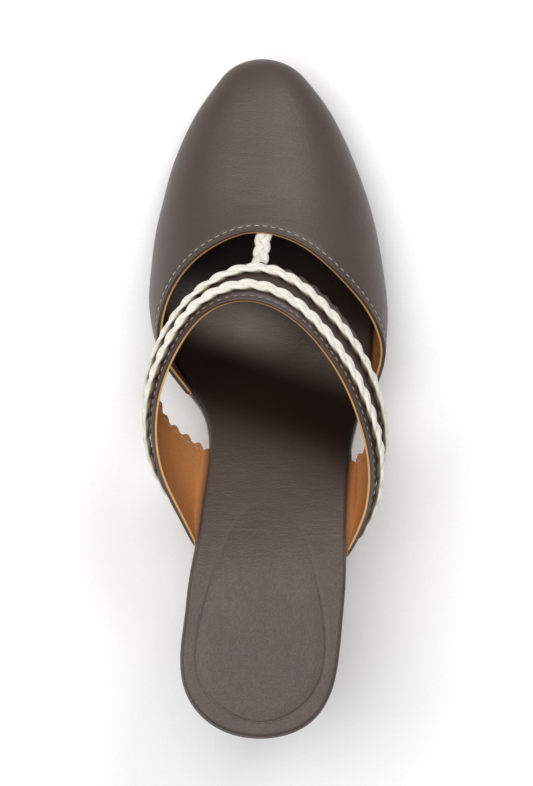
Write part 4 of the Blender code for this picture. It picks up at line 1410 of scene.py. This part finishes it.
def strap_lengths(edge, last):
    """Close places round the strap, and how far along one of its edges each lies."""
    fine = np.linspace(-last, last, STRAP_FINE_PLACES)
    return fine, lengths_along([strap_point(edge, around) for around in fine])


def evenly_round_strap(edge, count, last):
    """Places round the strap that are equally far apart along one of its edges."""
    fine, lengths = strap_lengths(edge, last)
    places = np.interp(np.linspace(0.0, lengths[-1], count + 1), lengths, fine)
    return [float(place) for place in places]


TEETH = round(strap_lengths(0.0, 1.0)[1][-1] / TOOTH_PITCH)


def strap_rows(last_across, count, past):
    """Rows of the strap, with teeth along the front and the ends turned in at the past places."""
    acrosses = [*TOOTH_ROWS, *np.linspace(TOOTH_ROWS[-1], last_across, count)[1:]]
    arounds = evenly_round_strap(0.0, TEETH * TOOTH_COLUMNS, 1.0)
    rows = []
    for across in acrosses:
        pinked = 1 - min(across / TOOTH_ROWS[-1], 1.0)
        row = []
        for i, around in enumerate(arounds):
            point = strap_point(across, around)
            if pinked > 0:
                outward = unit(strap_point(0.0, around) - strap_point(TOOTH_ROWS[-1], around))
                tooth = math.sin(math.pi * i / TOOTH_COLUMNS) ** 2
                point = point + outward * pinked * (TOOTH_DEPTH * tooth - TOOTH_SET_BACK)
            row.append(point)
        turned_in = [[strap_place(across, side * place) for place in past] for side in (-1, 1)]
        rows.append(list(reversed(turned_in[0])) + row + turned_in[1])
    return rows


def strap_line(edge, inset, last, side_inset=(0.0, 0.0)):
    """A line on the strap at a distance in from an edge, each place with its normal.

    As a braid does, it can lie further in at the inner and the outer side, by side_inset.
    A place that lands past the strap's base is left out.
    """
    line = []
    for around in evenly_round_strap(edge, LINE_PLACES, last):
        shift = side_inset[0 if around < 0 else 1] * ease(min(abs(around) / BRAID_SHIFT_END, 1.0))
        across, place = strap_inset(edge, around, inset + shift)
        if abs(place) < 1:
            line.append([*strap_point(across, place), *surface_normal(strap_point, across, place)])
    return line


STRAP_STITCH_LINE = strap_line(1, STRAP_STITCH_INSET, STRAP_STITCH_END)


def model_strap_calf():
    rows = strap_rows(1.0, STRAP_CALF_ROWS, TURNED_IN)
    piece = grid_piece("strap_calf", rows, outward=(0, 0, 1))
    stitches = line_evenly(np.array(STRAP_STITCH_LINE)[:, :3], STITCH_LINE_STEP)
    from_stitches = distances_to(points_of(piece), stitches)
    shift_out(piece, -STITCH_PRESS * trough(from_stitches, STITCH_PRESS_WIDTH))
    thicken_calf(piece)
    finish_piece(piece, "instep_strap", [UPPER_CALF], smooth_degrees=50)


def paint_contact_shade(piece):
    """Writes how much painted contact shadow each point of the strap's lining gets beside the
    footbed.
    """
    footbed_edge = []
    for side, (front, back) in STRAP_BASES.items():
        for share in np.linspace(front, back, FOOTBED_EDGE_PLACES):
            footbed_edge.append(feather_point(turn_of_share(share), side, LEDGE + GAP))
    distances = distances_to(points_of(piece), footbed_edge)
    values = piece.data.attributes.new(CONTACT_SHADE, "FLOAT", "POINT")
    values.data.foreach_set("value", np.interp(distances, CONTACT_SHADE_DISTANCES, (1.0, 0.0)))


def model_strap_lining():
    to_footbed = 1 + (LEDGE + GAP) / FOLD_TUCK
    rows = strap_rows(
        1.0 + STRAP_LINING_OVERHANG, STRAP_LINING_ROWS, ((1 + to_footbed) / 2, to_footbed))
    piece = grid_piece("strap_lining", rows, outward=(0, 0, 1))
    round_edges(piece, "fold at the feather", FOLD_RADIUS, segments=4, degrees=30)
    thicken_lining(piece)
    # painted contact shadow beside the footbed
    paint_contact_shade(piece)
    finish_piece(piece, "instep_strap", [], smooth_degrees=50)


def lining_stitch_line():
    """The row along the teeth, seen on the lining: it faces inward."""
    line = []
    for place in strap_line(0, LINING_STITCH_ROOT, STITCH_LINE_END):
        point, normal = np.split(np.array(place), 2)
        line.append([*(point - normal * (UPPER_WALL + STITCH_PRESS)), *-normal])
    return line


model_strap_calf()
model_strap_lining()
lay_stitches("strap_stitching", STRAP_STITCH_LINE, "instep_strap", GREYER_THREAD)
lay_stitches("lining_stitching", lining_stitch_line(), "instep_strap", STITCH_THREAD)


# Braids
# Three-strand plaits of off-white cotton cord, a little flattened. Two are sewn round the
# strap beside each other, and a fatter one joins the vamp's throat to the strap, with both
# ends caught under the leather.

BACK_BRAID_WIDTH = 0.0041
FRONT_BRAID_WIDTH = 0.0046
BRAID_HEIGHT = 0.0027
BRAID_LOBE = 0.0064
FRONT_BRAID_INSET = 0.0047    # middle of the braid from the strap's front edge
FRONT_SIDE_INSET = (0.0030, 0.0047)    # further in at the inner and the outer side
BACK_BRAID_PLACE = 0.71       # middle of the other braid, as a share across the strap
BACK_SIDE_INSET = (-0.0021, -0.0024)   # the same, where an inset counts forward
CENTRE_BRAID_WIDTH = 0.0060
CENTRE_BRAID_HEIGHT = 0.0023
CENTRE_BRAID_LOBE = 0.0047
CENTRE_BRAID_TUCK = 0.0050
CENTRE_BRAID_PLACE = 0.022    # how far round from the ridge
CENTRE_BRAID_POINTS = 14      # on its route
BRAID_END = 0.975
STRANDS = 3
STRAND_WIDTH = 0.50           # of the braid's width
STRAND_HEIGHT = 0.62          # of the braid's height
STRAND_SIDES = 10
RINGS_TO_A_LOBE = 10
CORD_HEIGHT = "height"        # of a point over the braid's seat, as a share of its height; the painted shade follows it
# painted shade between the strands: full below the first height, none above the second
PAINTED_SHADE_HEIGHTS = (0.36, 0.64)
REAR_SHADE = 0.08             # by which the rear edge counts as lower, for painted shade along it
CORD_RELIEF = 0.12 * MM       # of the fibres, which are drawn coarser than real ones


def braid_cotton():
    """Mercerised cotton cord: off-white, softly shining along the strand, with painted shade between
    the strands.
    """
    material = new_material("mercerised cotton cord")
    place = add_node(material, "ShaderNodeTexCoord", {}).outputs["Object"]
    tone = add_mottle(material, place, 2.5 * MM, 3.0, ("#cfc9bb", "#ebe7de"))[0]
    fibre = add_node(material, "ShaderNodeTexNoise", {
        "Vector": place, "Scale": 1 / (0.4 * MM), "Detail": 2.0})
    height = add_node(material, "ShaderNodeAttribute", {}, attribute_name=CORD_HEIGHT)
    on_top = add_node(material, "ShaderNodeMapRange", {
        "Value": output(height, "Fac"), "From Min": PAINTED_SHADE_HEIGHTS[0],
        "From Max": PAINTED_SHADE_HEIGHTS[1]}, interpolation_type="SMOOTHSTEP")
    # painted shade, dark yellowish brown, in the crevices and along the rear edge
    shaded = add_node(material, "ShaderNodeMix", {
        "Factor": output(on_top, "Result"), "A": linear("#66583c"), "B": tone,
    }, data_type="RGBA")
    bump = add_node(material, "ShaderNodeBump", {
        "Height": output(fibre, "Fac"), "Distance": CORD_RELIEF, "Strength": 0.8})
    set_shader(material, {
        "Base Color": output(shaded, "Result"), "Roughness": 0.55,
        "Normal": output(bump, "Normal"), "Sheen Weight": 0.15})
    return material


BRAID_COTTON = braid_cotton()


def strand_rings(route, width, height, lobe, number):
    """Rings round one strand as it passes from side to side, over and under the others."""
    lengths = lengths_along(route)
    count = max(2, round(lengths[-1] / lobe * RINGS_TO_A_LOBE))
    marks = np.linspace(0.0, lengths[-1], count + 1)
    smooth = [smooth_curve(lengths, column) for column in np.transpose(route)]
    strand_width = width * STRAND_WIDTH
    strand_height = height * STRAND_HEIGHT
    middles = []
    sideways = []
    lifts = []
    ups = []
    for mark in marks:
        point = np.array([curve(mark) for curve in smooth[:3]])
        up = unit(np.array([curve(mark) for curve in smooth[3:]]))
        step = STEP * lobe
        along = np.array([curve(mark + step) - curve(mark - step) for curve in smooth[:3]])
        across = unit(np.cross(along, up))
        phase = 2 * math.pi * (mark / (STRANDS * lobe) + number / STRANDS)
        sideways.append((width - strand_width) / 2 * math.sin(phase))
        lifts.append(height / 2 + (height - strand_height) / 2 * math.sin(2 * phase))
        middles.append(point + across * sideways[-1] + up * lifts[-1])
        ups.append(up)
    rings = []
    heights = []
    for i, (middle, up) in enumerate(zip(middles, ups)):
        along = middles[min(i + 1, count)] - middles[max(i - 1, 0)]
        across = unit(np.cross(along, up))
        up = unit(np.cross(across, along))
        ring = []
        for side in range(STRAND_SIDES + 1):
            angle = 2 * math.pi * side / STRAND_SIDES
            aside = math.cos(angle) * strand_width / 2
            above = math.sin(angle) * strand_height / 2
            ring.append(middle + across * aside + up * above)
            rearward = (sideways[i] + aside) / (width / 2)
            # lower at the rear edge, where the painted shade falls
            heights.append((lifts[i] + above) / height - REAR_SHADE * max(rearward, 0.0) ** 2)
        rings.append(ring)
    return rings, heights


def keep_heights(strand, places, heights):
    """Writes each point's height over the braid's seat into an attribute, less at the rear, for the
    painted shade.
    """
    tree = search_tree(places)
    values = strand.data.attributes.new(CORD_HEIGHT, "FLOAT", "POINT")
    for vertex in strand.data.vertices:
        values.data[vertex.index].value = heights[tree.find(vertex.co)[1]]


def model_braid(name, node, route, width, height, lobe):
    strands = []
    for number in range(STRANDS):
        rings, heights = strand_rings(route, width, height, lobe, number)
        strand = grid_piece(f"{name}_{number}", capped(rings), closed=True)
        keep_heights(strand, [place for ring in rings for place in ring], heights)
        strands.append(strand)
    finish_piece(join_pieces(strands, name), node, [BRAID_COTTON], smooth_degrees=80)


def centre_braid_route():
    """From under the vamp's throat, down behind the strap's front edge."""
    around = CENTRE_BRAID_PLACE
    throat_y = y_of_turn(throat_turn(around))
    strap_y = float(strap_front(around)[1])
    start = throat_y + CENTRE_BRAID_TUCK
    end = strap_y - CENTRE_BRAID_TUCK
    route = []
    for y in np.linspace(start, end, CENTRE_BRAID_POINTS):
        share = clamp((throat_y - y) / (throat_y - strap_y), 0.0, 1.0)
        turn = turn_of_y(y)
        across = (strap_y - y) / (strap_y - float(strap_back(around)[1]))
        up = surface_normal(vamp_point, turn, around) * (1 - share)
        up = unit(up + surface_normal(strap_point, across, around) * share)
        point = vamp_point(turn, around) * (1 - share) + strap_point(across, around) * share
        route.append([*(point - up * (UPPER_WALL + CENTRE_BRAID_HEIGHT)), *up])
    return route


for braid_node, braid_line, braid_inset, side_inset, braid_width in (
        ("braid_back", BACK_BRAID_PLACE, 0.0, BACK_SIDE_INSET, BACK_BRAID_WIDTH),
        ("braid_front", 0.0, FRONT_BRAID_INSET, FRONT_SIDE_INSET, FRONT_BRAID_WIDTH)):
    braid_route = strap_line(braid_line, braid_inset, BRAID_END, side_inset)
    model_braid(f"{braid_node}_cord", braid_node, braid_route, braid_width, BRAID_HEIGHT, BRAID_LOBE)
model_braid("centre_braid_cord", "centre_braid", centre_braid_route(),
            CENTRE_BRAID_WIDTH, CENTRE_BRAID_HEIGHT, CENTRE_BRAID_LOBE)
